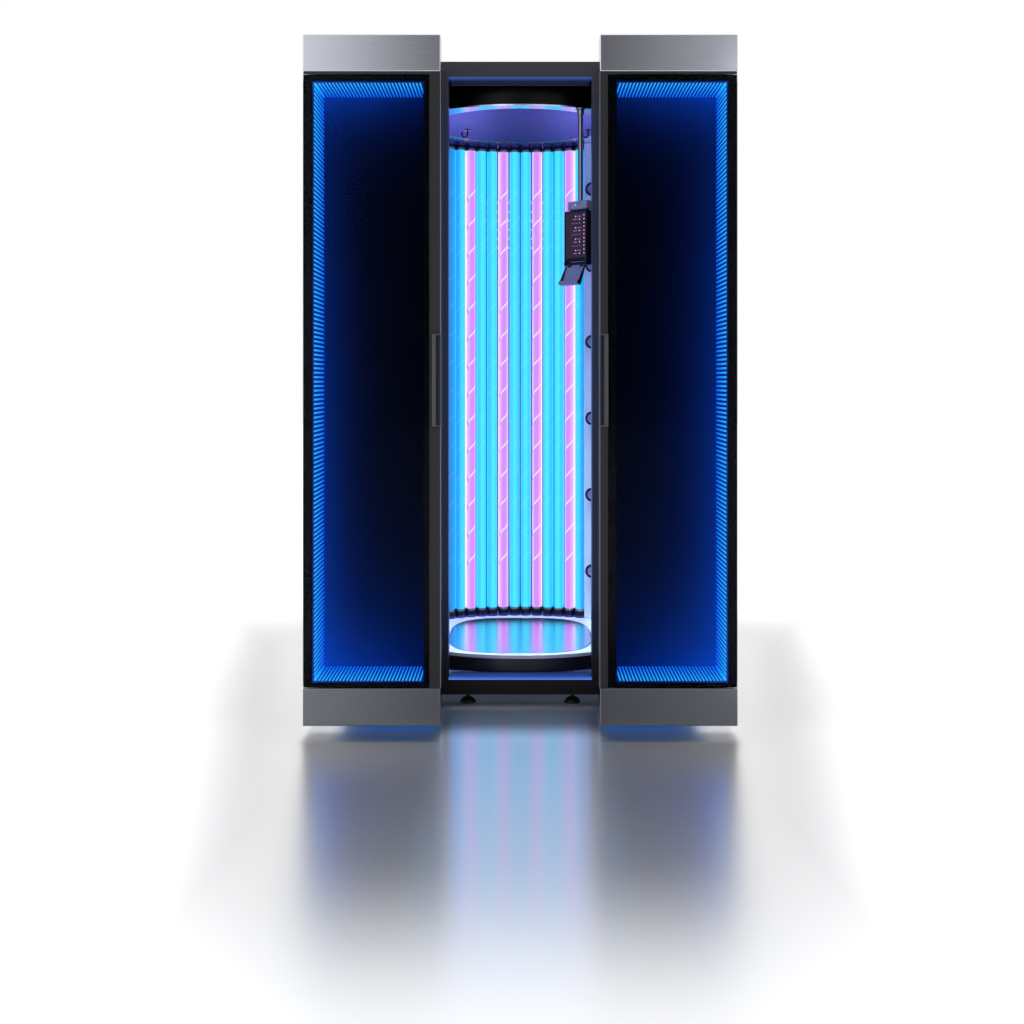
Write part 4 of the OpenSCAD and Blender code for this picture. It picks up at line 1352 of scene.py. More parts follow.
    def light(self, name: str, place: Point, aim: Point, size: Flat, power: float,
              tint: Point = (1.0, 1.0, 1.0), spread: float = 180.0, body: str = "") -> None:
        """Adds a soft rectangular light.

        Args:
            name: The light's name.
            place: Where it stands.
            aim: The point it faces.
            size: Its width and height.
            power: Its power in watts.
            tint: Its colour.
            spread: How wide its beam opens, in degrees.
            body: The body that it moves with, if any.
        """
        data = bpy.data.lights.new(name, "AREA")
        data.spread = math.radians(spread)
        data.shape = "RECTANGLE"
        data.size, data.size_y = size
        data.energy = power
        data.color = tint
        lamp = bpy.data.objects.new(name, data)
        lamp.location = place
        lamp.rotation_euler = (Vector(aim) - Vector(place)).to_track_quat("-Z", "Y").to_euler()
        lamp.visible_camera = False
        lamp.visible_glossy = name == "canopy spot"
        bpy.context.scene.collection.objects.link(lamp)
        if body:
            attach(lamp, body)

    def downlight(self, name: str, spot: Flat, size: Flat, power: float,
                  tint: Point = (1.0, 1.0, 1.0), body: str = "") -> None:
        """Adds a light just over the floor that faces it."""
        self.light(name, (*spot, 0.022), (*spot, 0.0), size, power, tint, body=body)

    def build(self) -> None:
        """Builds the whole studio."""
        self.camera()
        self.floor()
        self.world()
        self.light("canopy spot", (1.5, -3.6, 2.92), (0.0, -0.4, 2.2), (0.7, 0.16), 0.26)
        self.light("cabin glow", (0.0, 0.1, 2.1), (0.0, 0.1, 0.0), (0.5, 0.4), 7.5,
                   (0.66, 0.84, 1.0), 50.0)
        for side in Side:
            body = f"{side.word}_door"
            self.downlight("door glow", (side.value * 0.42, -0.56), (0.30, 0.28), 0.4,
                           (0.2, 0.42, 1.0), body)
            self.downlight("side glow", (side.value * 0.65, -0.56), (0.12, 0.28), 0.3, body=body)
        self.downlight("base glow", (0.0, -0.14), (1.2, 0.28), 0.4, (0.5, 0.68, 1.0))
        self.light("left softbox", (-4.2, -3.6, 2.6), (-0.3, -0.4, 1.2), (2.2, 3.2), 36.0)
        self.light("right softbox", (4.6, -3.2, 2.4), (0.3, -0.4, 1.2), (2.0, 3.0), 20.0)
        self.light("top softbox", (0.0, -0.6, 4.6), (0.0, 0.0, 0.0), (4.0, 3.0), 16.0)
        bpy.context.scene.view_settings.view_transform = "Standard"


# ---------------------------------------------------------------- sub-assemblies


@dataclass
class Door:
    """One sliding door: bands, glass, closing profile, handle and lit tunnel.

    Distances named u run outwards from the door's inner edge.
    """

    side: Side
    inner: float = 0.2645
    width: float = 0.457
    face_y: float = -0.715
    header_z: Flat = (2.197, 2.3195)
    footer_z: Flat = (0.0245, 0.1495)
    glass_z: Flat = (0.150, 2.1885)
    profile_z: Flat = (0.1502, 2.1966)
    tunnel_u: Flat = (0.055, 0.426)
    tunnel_z: Flat = (0.168, 2.1655)
    tunnel_depth: Flat = (0.0102, 0.2322)
    wall: float = 0.003
    bar_pitch: float = 0.015
    row_pitch: float = 0.0116
    bar_width: float = 0.0066
    bar_out: Flat = (0.0018, 0.0032)
    handle_z: Flat = (1.018, 1.326)
    channel_u: Flat = (0.0008, 0.0132)

    @property
    def profile(self) -> float:
        """The closing profile's width."""
        return 0.0368 if self.side is Side.LEFT else 0.0263

    def at(self, u: float, depth: float) -> Flat:
        """Turns a distance from the inner edge and a depth behind the face into X and Y."""
        return (self.side.value * (self.inner + u), self.face_y + depth)

    def across(self, u: Flat) -> List[float]:
        """Turns two distances from the inner edge into X, the lower one first."""
        return sorted(self.at(value, 0.0)[0] for value in u)

    def box(self, name: str, u: Flat, depth: Flat, z: Flat, bevel: float = 0.0,
            segments: int = 2) -> Piece:
        """Models a block between two distances u, two depths and two heights."""
        (left, right), (near, far) = self.across(u), (self.face_y + value for value in depth)
        return block(name, (left, near, z[0]), (right, far, z[1]), bevel, segments)

    def name(self, part: str) -> str:
        """Names a piece of this door."""
        return f"{self.side.word}_{part}_piece"

    def give(self, piece: Piece, finish: Finish, *parts: str) -> None:
        """Hands a piece over as this door's, for the parts it stands for."""
        word = self.side.word
        hand_over(piece, f"{word}_door", finish, *(f"{word}_{part}" for part in parts))

    def bands(self) -> None:
        """Models the silver bands at the head and foot, the foot's in a copy with painted shade.
        """
        plan = [(0, 0), (457, 0), (457, 280), (437, 312), (22, 312), (22, 104), (0, 82)]
        points = [self.at(u / 1000, depth / 1000) for u, depth in plan]
        for part, z, finish in (("door_header", self.header_z, Finishes.satin_silver),
                                ("door_footer", self.footer_z, Finishes.silver_foot)):
            self.give(slab(self.name(part), points, z, 0.0034, 3), finish, part)

    def pane(self) -> None:
        """Models the glass, its printed border and a black strip in the gap above it, which stands
        in for the gap's shadow.
        """
        low, high = self.glass_z
        glass = self.box(self.name("glass"), (self.profile + 0.0004, self.width),
                         (0.004, 0.0098), self.glass_z, 0.0012)
        self.give(glass, Finishes.dark_glass, "door_glass")
        edges = self.across((self.profile + 0.001, self.width - 0.0008))
        hole = self.across(self.tunnel_u)
        y = self.face_y + 0.0099
        border = ring_plate(self.name("glass_border"), (edges[0], y, low + 0.0008),
                            (edges[1], y + 0.0002, high - 0.0008),
                            (hole[0], self.tunnel_z[0]), (hole[1], self.tunnel_z[1]))
        self.give(border, Finishes.frit)
        # Painted shadow: a black strip fills the gap between the glass and the head band.
        gap = self.box(self.name("glass_gap"), (0.001, self.width - 0.001), (0.005, 0.06),
                       (high + 0.0002, self.header_z[0]), 0.0008)
        self.give(gap, Finishes.black_plastic)

    def edge(self) -> None:
        """Models the closing profile with its ribs and bright edge strip."""
        parts = [self.box(self.name("profile"), u, depth, self.profile_z, bevel)
                 for u, depth, bevel in (
                     ((0.0, self.profile), (0.003, 0.081), 0.0014),
                     ((-0.0032, 0.001), (0.032, 0.042), 0.0009),
                     ((-0.0012, 0.001), (0.009, 0.026), 0.0004),
                     ((self.profile - 0.0022, self.profile), (0.002, 0.01), 0.0006))]
        self.give(join(self.name("profile"), parts), Finishes.charcoal, "closing_profile")
        strip = self.box(self.name("edge_strip"), (-0.001, 0.0012), (0.0016, 0.0086),
                         self.profile_z, 0.0006)
        self.give(strip, Finishes.edge_strip)

    def handle(self) -> None:
        """Models the pull with its finger channel, whose inside is painted near black as shade."""
        low, high = self.handle_z
        pull = self.box(self.name("handle"), (-0.0028, 0.0272), (-0.0198, 0.0028), self.handle_z,
                        0.0042, 4)
        cut(pull, self.box("channel", self.channel_u, (-0.03, -0.0022),
                           (low + 0.005, high - 0.005), 0.002, 2))
        ease(pull, 0.0007, 2, 50.0)
        dress(pull, Finishes.handle_coat, Finishes.handle_dark)
        left, right = self.across(self.channel_u)
        margin = 0.0001
        # Painted shade: the faces inside the finger channel take the near-black copy of the coat.
        paint(pull, 1, lambda spot, way: left - margin < spot.x < right + margin
              and self.face_y - 0.0188 < spot.y < self.face_y + 0.002
              and low + 0.004 < spot.z < high - 0.004)
        self.give(pull, Finishes.handle_coat, "handle")

    def tunnel(self) -> None:
        """Models the dark lining and the bars' carriers, both with painted glow, and the light
        bars on three of the lining's walls.
        """
        lining = self.box(self.name("tunnel"), self.tunnel_u, self.tunnel_depth, self.tunnel_z)
        drop_faces(lining, lambda spot, way: way.y < -0.9)
        solidify(lining, self.wall)
        dress(lining, Finishes.tunnel, Finishes.cover)
        left, right = self.across(self.tunnel_u)
        (low, high), rear = self.tunnel_z, self.face_y + self.tunnel_depth[1]
        paint(lining, 1, lambda spot, way: min(spot.x - left, right - spot.x, rear - spot.y,
                                               spot.z - low, high - spot.z) < 0.0005)
        self.give(lining, Finishes.tunnel, "light_box")
        near, far = self.tunnel_u[0] + self.wall, self.tunnel_u[1] - self.wall
        low, high = low + self.wall, high - self.wall
        depth = (self.tunnel_depth[0] + 0.0008, self.tunnel_depth[1] - self.wall - 0.0004)
        # Painted light: the carriers glow between the bars.
        carriers = [self.box("carrier", u, depth, z, 0.0004)
                    for u, z in (((far - 0.002, far), (low, high)),
                                 ((near, far), (low, low + 0.002)),
                                 ((near, far), (high - 0.002, high)))]
        self.give(join(self.name("bar_carriers"), carriers), Finishes.bar_carrier)
        out, under = self.bar_out
        half, up = self.bar_width / 2, low + 0.0065
        outer = self.box("bars", (far - under, far - out), depth, (up - half, up + half), 0.0005)
        row(outer, 1 + int((high - up - half) / self.bar_pitch), (0.0, 0.0, self.bar_pitch))
        thin = half * self.row_pitch / self.bar_pitch
        start = far - 0.0062
        pieces = [outer]
        for z in ((low + out, low + under), (high - under, high - out)):
            wall_bars = self.box("bars", (start - thin, start + thin), depth, z, 0.0005)
            row(wall_bars, 1 + int((start - near - thin) / self.row_pitch),
                (-self.side.value * self.row_pitch, 0.0, 0.0))
            pieces.append(wall_bars)
        self.give(join(self.name("light_bars"), pieces), Finishes.bars, "light_bars")

    def build(self) -> None:
        """Builds the door."""
        for step in (self.bands, self.pane, self.edge, self.handle, self.tunnel):
            step()


@dataclass
class LampRing:
    """The oval ring of lamps with their holders and reflector strips."""

    half: Flat = (0.520, 0.438)
    middle: float = 0.182
    pitch: float = 0.048
    per_side: int = 24
    column_places: Tuple[int, ...] = (6, 7)
    radius: float = 0.019
    tube_z: Flat = (0.1714, 2.1794)
    lower_z: Flat = (0.1572, 0.1852)
    upper_top: float = 2.1856
    upper_share: float = 20 / 28
    strip_z: Flat = (0.158, 2.185)
    holder_radius: float = 0.0215

    def step(self, turn: float) -> float:
        """Gives the turn that moves one pitch along the oval."""
        return self.pitch / math.hypot(self.half[0] * math.cos(turn),
                                       self.half[1] * math.sin(turn))

    def turns(self) -> List[Tuple[int, float]]:
        """Lists each lamp's number from the rear and its turn round the oval.

        Returns:
            Pairs of number and turn.
        """
        found = []
        turn = self.step(0.0) / 2
        for number in range(self.per_side):
            if number:
                turn += self.step(turn + self.step(turn) / 2)
            found.append((number, -turn))
            if number not in self.column_places:
                found.append((number, turn))
        return found

    def place(self, turn: float) -> Tuple[Point, float]:
        """Finds a place on the oval.

        Args:
            turn: The turn round the oval.

        Returns:
            The place and the turn that faces a lamp outwards there.
        """
        a, b = self.half
        x, y = a * math.sin(turn), b * math.cos(turn)
        outward = math.atan2(y / b ** 2, x / a ** 2)
        return (x, self.middle + y, 0.0), outward - math.pi / 2

    def tube(self, name: str, low: float, high: float) -> Piece:
        """Models one tube at the origin, with metal ends and its groove's map.

        Args:
            name: The object's name.
            low: Its lower end.
            high: Its upper end.

        Returns:
            The object.
        """
        glass = rod(name, (0.0, 0.0, (low + high) / 2), self.radius, high - low, sides=36)
        modify(glass, "BEVEL", width=0.004, segments=3, limit_method="ANGLE",
               angle_limit=math.radians(60))
        caps = [dress(rod("cap", (0.0, 0.0, z), self.radius + 0.0003, 0.022, sides=36,
                          bevel=0.002), Finishes.lamp_cap)
                for z in (low + 0.0125, high - 0.0125)]
        whole = join(name, [dress(glass, Finishes.blue_lamp)] + caps)
        smooth(whole, 40)
        layer = whole.data.uv_layers.new(name="tube")
        for face in whole.data.polygons:
            spots = [whole.data.vertices[index].co for index in face.vertices]
            turns = [math.atan2(spot.y, spot.x) / (2 * math.pi) + 0.5 for spot in spots]
            wraps = max(turns) - min(turns) > 0.5
            for loop, turn, spot in zip(face.loop_indices, turns, spots):
                layer.data[loop].uv = (turn + 1.0 if wraps and turn < 0.5 else turn, spot.z)
        return whole

    def holder(self) -> Piece:
        """Models one lower cup at the origin, with its web and an ear on each side.

        Returns:
            The cup.
        """
        low, high = self.lower_z
        cup = rod("holder", (0.0, 0.0, (low + high) / 2), self.holder_radius, high - low,
                  sides=28, bevel=0.0014)
        lip = rod("lip", (0.0, 0.0, low + 0.0045), self.holder_radius + 0.0014, 0.009, sides=28,
                  bevel=0.0012)
        web = block("web", (-0.0233, 0.007, low + 0.001), (0.0233, 0.0125, high - 0.001),
                    0.0008, 1)
        ears = []
        for sign in (-1, 1):
            ear = block("ear", (-0.0046, -0.004, high - 0.012), (0.0046, 0.004, high + 0.012))
            for vertex in ear.data.vertices:
                if vertex.co.z > high:
                    vertex.co.x *= 0.2
                    vertex.co.y *= 0.5
            ease(ear, 0.0008, 1)
            ears.append(turned(ear, (0.0, 0.0, 0.0), (sign * 0.0216, 0.0, 0.0)))
        dress(lip, Finishes.holder_base)
        return join("holder", [dress(cup, Finishes.holder), lip]
                    + [dress(part, Finishes.holder) for part in (web, *ears)])

    def upper(self, lower: Piece) -> Piece:
        """Turns a copy of the lower cup upside down, less high, under the canopy.

        Args:
            lower: The lower cup.

        Returns:
            The upper cup.
        """
        cup = copied(lower, (0.0, 0.0, 0.0))
        for vertex in cup.data.vertices:
            vertex.co.z = self.upper_top - (vertex.co.z - self.lower_z[0]) * self.upper_share
        face_out(cup)
        return cup

    def strip(self) -> Piece:
        """Models one reflector strip at the origin, its edges turned in between the lamps.

        Returns:
            The strip.
        """
        low, high = self.strip_z
        back = block("strip", (-0.0233, 0.0233, low), (0.0233, 0.0247, high), 0.0004, 1)
        dress(back, Finishes.reflector, Finishes.reflector_back)
        paint(back, 1, lambda spot, way: way.y > 0.5)
        lips = [dress(block("lip", (sign * 0.0229 - 0.0007, 0.0125, low + 0.03),
                            (sign * 0.0229 + 0.0007, 0.024, high - 0.03), 0.0003, 1),
                      Finishes.reflector_edge) for sign in (-1, 1)]
        return join("strip", [back] + lips)

    def build(self) -> None:
        """Builds the ring's lamps, cups and strips and the lamps on the doors."""
        tube, cup, strip = self.tube("tube", *self.tube_z), self.holder(), self.strip()
        top = self.upper(cup)
        lamps: Dict[str, List[Piece]] = {"blue_lamps": [], "pink_lamps": []}
        cups, strips = [], []
        for number, turn in self.turns():
            spot, facing = self.place(turn)
            kind = "pink_lamps" if number % 3 == 1 else "blue_lamps"
            lamps[kind].append(copied(tube, spot, facing))
            cups += [copied(cup, spot, facing), copied(top, spot, facing)]
            sheet = copied(strip, spot, facing)
            # Painted reflection: strips behind pink lamps glow pale pink instead of blue.
            if kind == "pink_lamps":
                sheet.material_slots[0].material = Finishes.pale_reflector.material()
            strips.append(sheet)
        for kind, pieces in lamps.items():
            piece = join(kind + "_piece", pieces)
            finish = Finishes.pink_lamp if kind == "pink_lamps" else Finishes.blue_lamp
            piece.material_slots[0].material = finish.material()
            hand_over(piece, "cabin", finish, kind)
        hand_over(join("lamp_holders_piece", cups), "cabin", Finishes.holder, "lamp_holders")
        hand_over(join("lamp_reflectors_piece", strips), "cabin", Finishes.reflector,
                  "lamp_reflectors")
        for side in Side:
            self.door_lamps(side)
        for part in (tube, cup, top, strip):
            bpy.data.objects.remove(part)
        LOG.info("ring of lamps: %d blue, %d pink", *(len(pieces) for pieces in lamps.values()))

    def door_lamps(self, side: Side) -> None:
        """Models the five lamps on the back of one door.

        Args:
            side: The door's side.
        """
        node = f"{side.word}_door_lamps"
        low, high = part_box(node)
        tube = self.tube("door tube", low[2], high[2])
        count = round((high[0] - low[0] - 2 * self.radius) / self.pitch) + 1
        y = (low[1] + high[1]) / 2
        lamps = [copied(tube, (low[0] + self.radius + self.pitch * index, y, 0.0))
                 for index in range(count)]
        bpy.data.objects.remove(tube)
        hand_over(join(node + "_piece", lamps), f"{side.word}_door", Finishes.blue_lamp, node)


@dataclass
class AirColumn:
    """The pale air column in the ring, with its turning nozzle rings.

    Its pieces are modelled at the origin, their back outwards.
    """

    spot: Flat = (0.3185, 0.5282)
    turn: float = -math.atan2(0.54654, 0.83743)
    z: Flat = (0.1574, 2.1852)
    half_width: float = 0.048
    nozzles: int = 6
    first_nozzle: float = 0.363
    nozzle_pitch: float = 0.324
    ridges: int = 24
    ring_z: Flat = (0.0222, 0.0348)

    def height(self, number: int) -> float:
        """Gives a nozzle's height."""
        return self.first_nozzle + self.nozzle_pitch * (number - 1)

    def stand(self, piece: Piece) -> Piece:
        """Turns a piece modelled at the origin into its place."""
        return turned(piece, (0.0, 0.0, self.turn), (*self.spot, 0.0))

    def face(self) -> None:
        """Models the column's panel with its collars and the nozzles' insides."""
        low, high = self.z
        parts = [block("column", (-self.half_width, -0.012, low), (self.half_width, 0.0196, high),
                       0.003, 3)]
        for sign in (-1, 1):
            parts.append(block("bead", (sign * 0.040 - 0.002, -0.0138, low + 0.02),
                               (sign * 0.040 + 0.002, -0.011, high - 0.02), 0.001))
        spigots = []
        for number in range(1, self.nozzles + 1):
            z = self.height(number)
            parts.append(rod("collar", (0.0, -0.0165, z), 0.0245, 0.0095, Axis.Y, 48, 0.0016))
            outer = rod("spigot", (0.0, -0.0268, z), 0.0178, 0.0124, Axis.Y, 40)
            cut(outer, rod("bore", (0.0, -0.033, z), 0.0148, 0.014, Axis.Y, 40))
            spigots.append(ease(outer, 0.0006, 1))
            for tilt in (0.0, math.pi / 2):
                vane = block("vane", (-0.0152, -0.0305, -0.0009), (0.0152, -0.0265, 0.0009),
                             0.0003, 1)
                spigots.append(turned(vane, (0.0, tilt, 0.0), (0.0, 0.0, z)))
        hand_over(self.stand(join("air_column_piece", parts)), "cabin", Finishes.column_white,
                  "air_column")
        hand_over(self.stand(join("nozzle_insides", spigots)), "cabin", Finishes.nozzle_inner)

    def nozzle(self, number: int) -> None:
        """Models one knurled ring on its spigot.

        Args:
            number: The ring's number from below.
        """
        points = []
        for index in range(self.ridges * 6):
            angle = 2 * math.pi * index / (self.ridges * 6)
            reach = 0.0288 - 0.0013 * max(0.0, math.cos(self.ridges * angle)) ** 2
            points.append((reach * math.cos(angle), reach * math.sin(angle)))
        ring = slab("ring", points, self.ring_z)
        cut(ring, rod("hole", (0.0, 0.0, 0.028), 0.0182, 0.03, sides=48))
        ease(ring, 0.0011, 2, 50.0)
        turned(ring, (math.pi / 2, 0.0, 0.0), (0.0, 0.0, self.height(number)))
        node = f"nozzle_ring_{number}"
        ring.name = node + "_piece"
        hand_over(self.stand(ring), node, Finishes.knurl, node)

    def build(self) -> None:
        """Builds the column and its rings."""
        self.face()
        for number in range(1, self.nozzles + 1):
            self.nozzle(number)


@dataclass
class Cabin:
    """Doorway, canopy, ceiling and floor of the cabin."""

    centre: Flat = (0.0, 0.182)
    band_half: Flat = (0.485, 0.409)
    band_z: Flat = (2.191, 2.266)
    skirt_half: Flat = (0.482, 0.406)
    skirt_z: Flat = (0.0952, 0.1448)
    light_radius: float = 0.350
    light_z: Flat = (2.1850, 2.2105)
    plate_half: Flat = (0.281, 0.3645)
    plate_z: Flat = (0.1514, 0.1572)
    plate_power: float = 3.2
    opening: Point = (0.2585, 0.095, 2.263)
    face_box: Box = ((-0.3143, -0.343, 0.0412), (0.3143, -0.3372, 2.3188))
    lining_y: Flat = (-0.3392, -0.2812)
    lining_wall: float = 0.003
    head_light: Point = (-0.2735, 2.246, 2.2648)
    sill_light: Point = (-0.2292, 0.0953, 0.0975)
    lights_front: float = -0.2806
    grooves: Tuple[Point, ...] = ((0.0055, 0.0014, 0.0008), (0.0105, 0.0014, 0.0008),
                                  (0.0150, 0.005, 0.002))

    def doorway(self) -> None:
        """Models the doorway's frame with its shadow lines, and its lining, with painted light on
        the lining's head and sill.
        """
        half, low, high = self.opening
        front, wall = self.face_box[0][1], self.lining_wall
        face = ring_plate("face", *self.face_box, (-half, low), (half, high), 0.0012)
        for edge, wide, deep in self.grooves:
            for sign in (-1, 1):
                near, far = sorted((sign * (half + edge), sign * (half + edge + wide)))
                cut(face, block("groove", (near, front - 0.007, low - 0.02),
                                (far, front + deep, high + 0.02)))
        ease(face, 0.0005, 1, 60.0)
        lining = ring_plate("lining", (-half - wall, self.lining_y[0], low - wall),
                            (half + wall, self.lining_y[1], high + wall), (-half, low),
                            (half, high), 0.0006)
        portal = join("front_portal_piece", [face, lining])
        dress(portal, Finishes.portal_coat, Finishes.mood_sill, Finishes.lit_head)
        # Painted light: the lining's head underside and sill top take glowing finishes.
        for slot, way_z, level in ((2, -1, high), (1, 1, low)):
            paint(portal, slot, lambda spot, way: way.z * way_z > 0.9
                  and abs(spot.z - level) < wall and abs(spot.x) < half)
        hand_over(portal, "cabin", Finishes.portal_coat, "front_portal")

    def mood(self) -> None:
        """Models the blue light covers behind the doorway's head and sill."""
        half = self.opening[0] - 0.006
        for name, (back, low, high), bevel, finish, nodes in (
                ("mood_light_head", self.head_light, 0.0012, Finishes.mood_head, ()),
                ("mood_light_sill", self.sill_light, 0.001, Finishes.mood_sill,
                 ("mood_lights",))):
            light = block(name, (-half, self.lights_front, low), (half, back, high), bevel)
            hand_over(light, "cabin", finish, *nodes)

    def canopy(self) -> None:
        """Models the canopy's glossy band and the lit ceiling under it."""
        hoop = band("canopy_band_piece", oval(self.centre, self.band_half), self.band_z, 0.0078,
                    0.0022)
        hand_over(hoop, "cabin", Finishes.hoop_black, "canopy_band")
        disc = slab("ceiling_light_piece",
                    oval(self.centre, (self.light_radius - 0.001,) * 2, 192), self.light_z, 0.0016)
        hand_over(disc, "cabin", Finishes.ceiling, "ceiling_light")

    def floor(self) -> None:
        """Models the glossy skirt and the polished plate with its seal."""
        hoop = band("platform_skirt_piece", oval(self.centre, self.skirt_half), self.skirt_z,
                    0.0058, 0.0016)
        hand_over(hoop, "cabin", Finishes.skirt_black, "platform_skirt")
        low, high = self.plate_z
        seal = band("floor_plate_seal", oval(self.centre, self.plate_half, 240, self.plate_power),
                    (low, high + 0.0003), 0.0028, 0.0006, 2)
        hand_over(seal, "cabin", Finishes.black_plastic)
        inner = tuple(value - 0.0027 for value in self.plate_half)
        plate = slab("floor_plate_piece", oval(self.centre, inner, 240, self.plate_power),
                     self.plate_z, 0.0008)
        hand_over(plate, "cabin", Finishes.floor_mirror, "floor_plate")

    def build(self) -> None:
        """Builds the cabin's visible pieces."""
        for step in (self.doorway, self.mood, self.canopy, self.floor):
            step()


@dataclass
class ControlUnit:
    """Display and phone holder that turn on the hanger pole.

    The display's pieces are modelled square at the origin, the holder's on its hinge.
    """

    pole: Flat = (0.225, -0.175)
    turn: float = -math.pi / 4
    tilt: float = -math.radians(20.7)
    hinge: Point = (0.0, -0.022, 1.605)
    head_box: Box = ((-0.0478, -0.0198, 1.8062), (0.0478, 0.0238, 1.8388))
    lens: Point = (-0.008, -0.0192, 1.824)
    case_box: Box = ((-0.0558, -0.0318, 1.6122), (0.0558, 0.0078, 1.8018))
    window_box: Box = ((-0.0365, -0.04, 1.6265), (0.0535, -0.0300, 1.7945))
    neck_box: Box = ((-0.0398, -0.0158, 1.8), (0.0398, 0.0058, 1.808))
    panel_box: Box = ((-0.0361, -0.0316, 1.6269), (0.0531, -0.0301, 1.7941))
    rib_heights: Point = (1.65, 1.70, 1.75)
    holder_half: float = 0.0476
    holder_z: Flat = (-0.0878, -0.0002)
    marks_y: float = -0.03172
    mark_lines: int = 11
    mark_top: float = 1.782
    mark_pitch: float = 0.014
    warning_line: int = 6

    def stand(self, piece: Piece) -> Piece:
        """Turns a piece modelled square at the origin to its place on the pole."""
        return turned(piece, (0.0, 0.0, self.turn), (*self.pole, 0.0))

    def tip(self, piece: Piece) -> Piece:
        """Tilts a piece modelled on the upright hinge frame, then stands it in place."""
        return self.stand(turned(piece, (self.tilt, 0.0, 0.0), self.hinge))

    def post(self) -> None:
        """Models the hanger pole with its sleeve and collar."""
        parts = [rod("pole", (*self.pole, z), radius, length, sides=40, bevel=bevel)
                 for z, radius, length, bevel in ((1.9998, 0.0098, 0.3716, 0.001),
                                                  (2.1695, 0.0138, 0.0196, 0.0016),
                                                  (2.1824, 0.0188, 0.0058, 0.0012))]
        hand_over(join("hanger_pole_piece", parts), "cabin", Finishes.pole, "hanger_pole")

    def head(self) -> None:
        """Models the head block with its status light."""
        top = block("head_block_piece", *self.head_box, 0.0034, 3)
        x, y, z = self.lens
        cut(top, rod("lens hole", (x, y - 0.0006, z), 0.0042, 0.003, Axis.Y, 24))
        hand_over(self.stand(top), "control_unit", Finishes.head_block)
        lens = rod("status_light_piece", self.lens, 0.0040, 0.0018, Axis.Y, 24, 0.0005)
        hand_over(self.stand(lens), "control_unit", Finishes.status)

    def housing(self) -> None:
        """Models the display's housing, its neck and the holder's ears."""
        case = block("case", *self.case_box, 0.0046, 3)
        cut(case, block("window", *self.window_box, 0.001, 1))
        parts = [case, block("neck", *self.neck_box, 0.001)]
        for sign in (-1, 1):
            low, high = sorted((sign * 0.0497, sign * 0.0558))
            parts.append(block("ear", (low, -0.0318, 1.5982), (high, 0.0038, 1.614), 0.002))
        for z in self.rib_heights:
            parts.append(block("rib", (-0.047, 0.0074, z), (0.047, 0.0079, z + 0.004), 0.0002, 1))
        hand_over(self.stand(join("display_housing_piece", parts)), "control_unit",
                  Finishes.black_plastic, "display_housing")

    def dot(self, x: float, z: float, radius: float, sides: int) -> Piece:
        """Models a round mark on the screen."""
        return rod("dot", (x, self.marks_y, z), radius, 0.0002, Axis.Y, sides)

    def bar(self, low: Flat, high: Flat) -> Piece:
        """Models a square mark on the screen between two places in X and Z."""
        return block("bar", (low[0], self.marks_y - 0.0001, low[1]),
                     (high[0], self.marks_y + 0.0001, high[1]))

    def screen(self) -> None:
        """Models the screen's panel and its plain marks."""
        panel = block("display_screen_piece", *self.panel_box, 0.0008)
        hand_over(self.stand(panel), "control_unit", Finishes.screen_lit, "display_screen")
        pale: List[Piece] = []
        orange: List[Piece] = []
        for line in range(self.mark_lines):
            z = self.mark_top - self.mark_pitch * line
            (orange if line == self.warning_line else pale).append(self.dot(0.0455, z, 0.0032, 16))
            if line % 3 == 0:
                pale += [self.dot(0.004, z - 0.003, 0.0034, 20),
                         self.bar((0.014, z - 0.004), (0.030, z - 0.0026))]
            elif line % 3 == 1:
                pale += [self.bar((-0.008, z - 0.001), (0.010, z + 0.0006)),
                         self.bar((0.020, z - 0.003), (0.026, z + 0.003))]
            else:
                pale += [self.dot(x, z, 0.0016, 12) for x in (-0.012, 0.0, 0.012, 0.024)]
        for kind, pieces, finish in (("pale", pale, Finishes.mark_pale),
                                     ("orange", orange, Finishes.mark_orange)):
            hand_over(self.stand(join(f"screen_marks_{kind}", pieces)), "control_unit", finish)

    def holder(self) -> None:
        """Models the tilting phone holder: its plate, then the arms and the hinge."""
        (low, high), half = self.holder_z, self.holder_half
        plate = [block("plate", (-half, near, foot), (half, far, top), 0.001)
                 for near, far, foot, top in ((-0.0015, 0.0013, low, high),
                                              (-0.0196, 0.001, low, low + 0.003),
                                              (-0.0196, -0.0168, low, low + 0.0105))]
        hand_over(self.tip(join("phone_holder_piece", plate)), "phone_holder",
                  Finishes.holder_plate, "phone_holder")
        parts = [rod("hinge", (0.0, 0.0, 0.0), 0.0058, 0.098, Axis.X, 32, 0.001),
                 rod("pin", (0.0, 0.0, 0.0), 0.0029, 0.111, Axis.X, 24, 0.0005)]
        for sign in (-1, 1):
            inner, outer = sorted((sign * 0.0458, sign * 0.0478))
            flange = block("flange", (inner, -0.0168, low - 0.0005), (outer, 0.0012, high - 0.006))
            for vertex in flange.data.vertices:
                if vertex.co.z > high - 0.01 and vertex.co.y < 0.0:
                    vertex.co.y = -0.0052
            parts += [ease(flange, 0.0008),
                      block("hook", (inner, -0.0198, low - 0.0005),
                            (outer, -0.006, low + 0.0125), 0.0008),
                      block("knuckle", (sign * 0.03 - 0.009, -0.004, -0.014),
                            (sign * 0.03 + 0.009, 0.0015, 0.0), 0.001)]
        hand_over(self.tip(join("phone_holder_arms", parts)), "phone_holder",
                  Finishes.black_plastic)

    def build(self) -> None:
        """Builds the pole, the display and the holder."""
        for step in (self.post, self.head, self.housing, self.screen, self.holder):
            step()


# ---------------------------------------------------------------- main


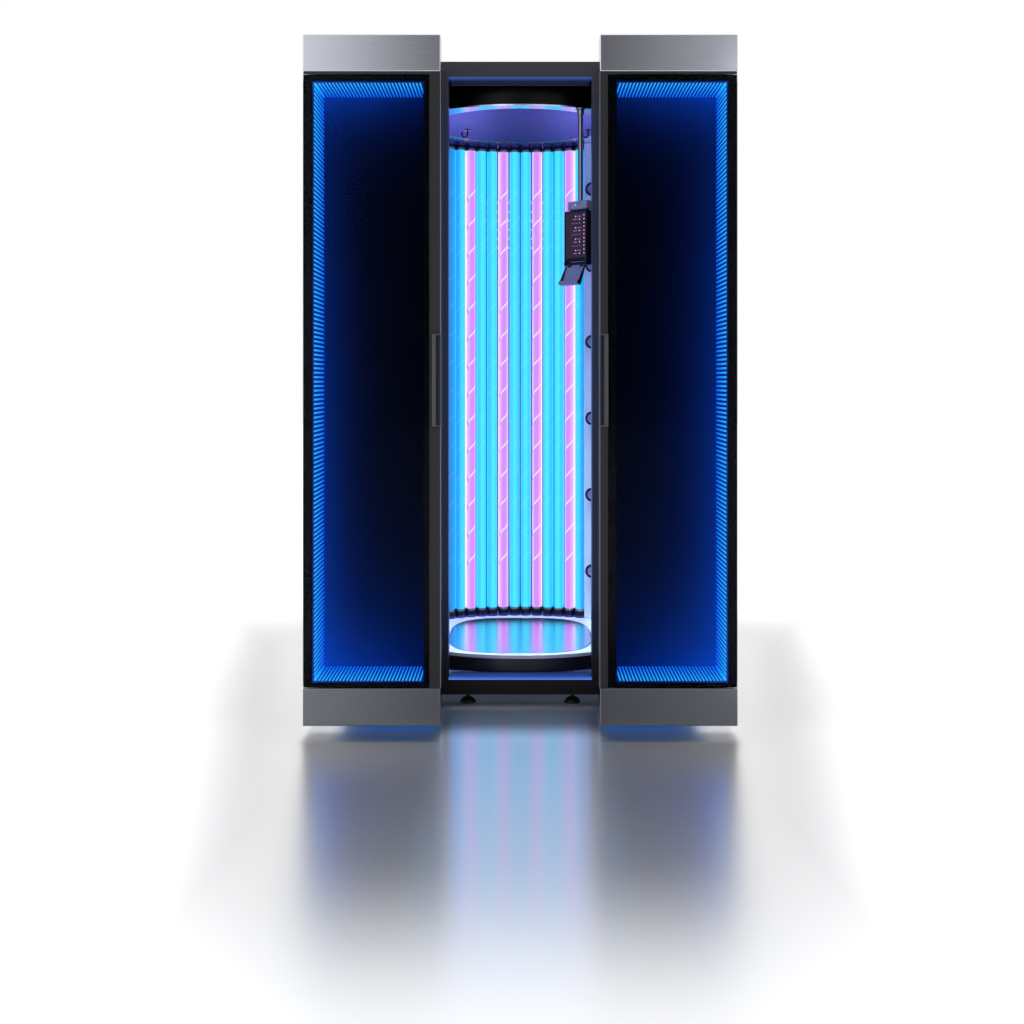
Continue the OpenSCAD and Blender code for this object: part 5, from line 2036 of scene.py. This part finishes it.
CABIN_NODES: Dict[Finish, Tuple[str, ...]] = {
    Finishes.frame_coat: ("cabin_frame",), Finishes.rubber: ("levelling_feet",),
    Finishes.pan_coat: ("floor_pan",), Finishes.portal_coat: ("front_portal",),
    Finishes.cover: ("front_panels", "side_panels", "roof_panel"),
    Finishes.rear_cover: ("rear_panel",), Finishes.steel: ("door_rails",),
    Finishes.white_gloss: ("platform",), Finishes.skirt_black: ("platform_skirt",),
    Finishes.floor_mirror: ("floor_plate",), Finishes.hoop_black: ("canopy_band",),
    Finishes.soffit: ("ceiling_ring",), Finishes.ceiling: ("ceiling_light",),
    Finishes.holder: ("lamp_holders",), Finishes.reflector: ("lamp_reflectors",),
    Finishes.column_white: ("air_column",), Finishes.pole: ("hanger_pole",),
    Finishes.hook_metal: ("coat_hooks",), Finishes.tray: ("ballast_tray",),
    Finishes.fan: ("exhaust_fan",), Finishes.black_plastic: ("display_housing",),
    Finishes.holder_plate: ("phone_holder",),
    Finishes.knurl: tuple(f"nozzle_ring_{n}" for n in range(1, AirColumn.nozzles + 1)),
}

DOOR_NODES: Dict[Finish, Tuple[str, ...]] = {
    Finishes.door_metal: ("door_frame",), Finishes.satin_silver: ("door_header",),
    Finishes.silver_foot: ("door_footer",), Finishes.dark_glass: ("door_glass",),
    Finishes.tunnel: ("light_box",), Finishes.bars: ("light_bars",),
    Finishes.charcoal: ("closing_profile",), Finishes.handle_coat: ("handle",),
    Finishes.cover: ("door_shell",), Finishes.blue_lamp: ("door_lamps",),
    Finishes.reflector: ("lamp_tray",), Finishes.nylon: ("inner_roller", "outer_roller"),
}


def dress_frame() -> None:
    """Gives every carried-over node its finish."""
    for finish, nodes in CABIN_NODES.items():
        for node in nodes:
            dress_node(node, finish)
    for finish, parts in DOOR_NODES.items():
        for part in parts:
            for side in Side:
                dress_node(f"{side.word}_{part}", finish)


def main() -> None:
    """Builds the studio and every sub-assembly in order."""
    logging.basicConfig(level=logging.INFO, format="%(name)s: %(message)s")
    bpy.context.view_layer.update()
    Studio().build()
    dress_frame()
    for part in (Cabin(), LampRing(), AirColumn(), ControlUnit(), Door(Side.LEFT),
                 Door(Side.RIGHT)):
        LOG.info("building %s", type(part).__name__)
        part.build()


if __name__ == "__main__":
    main()
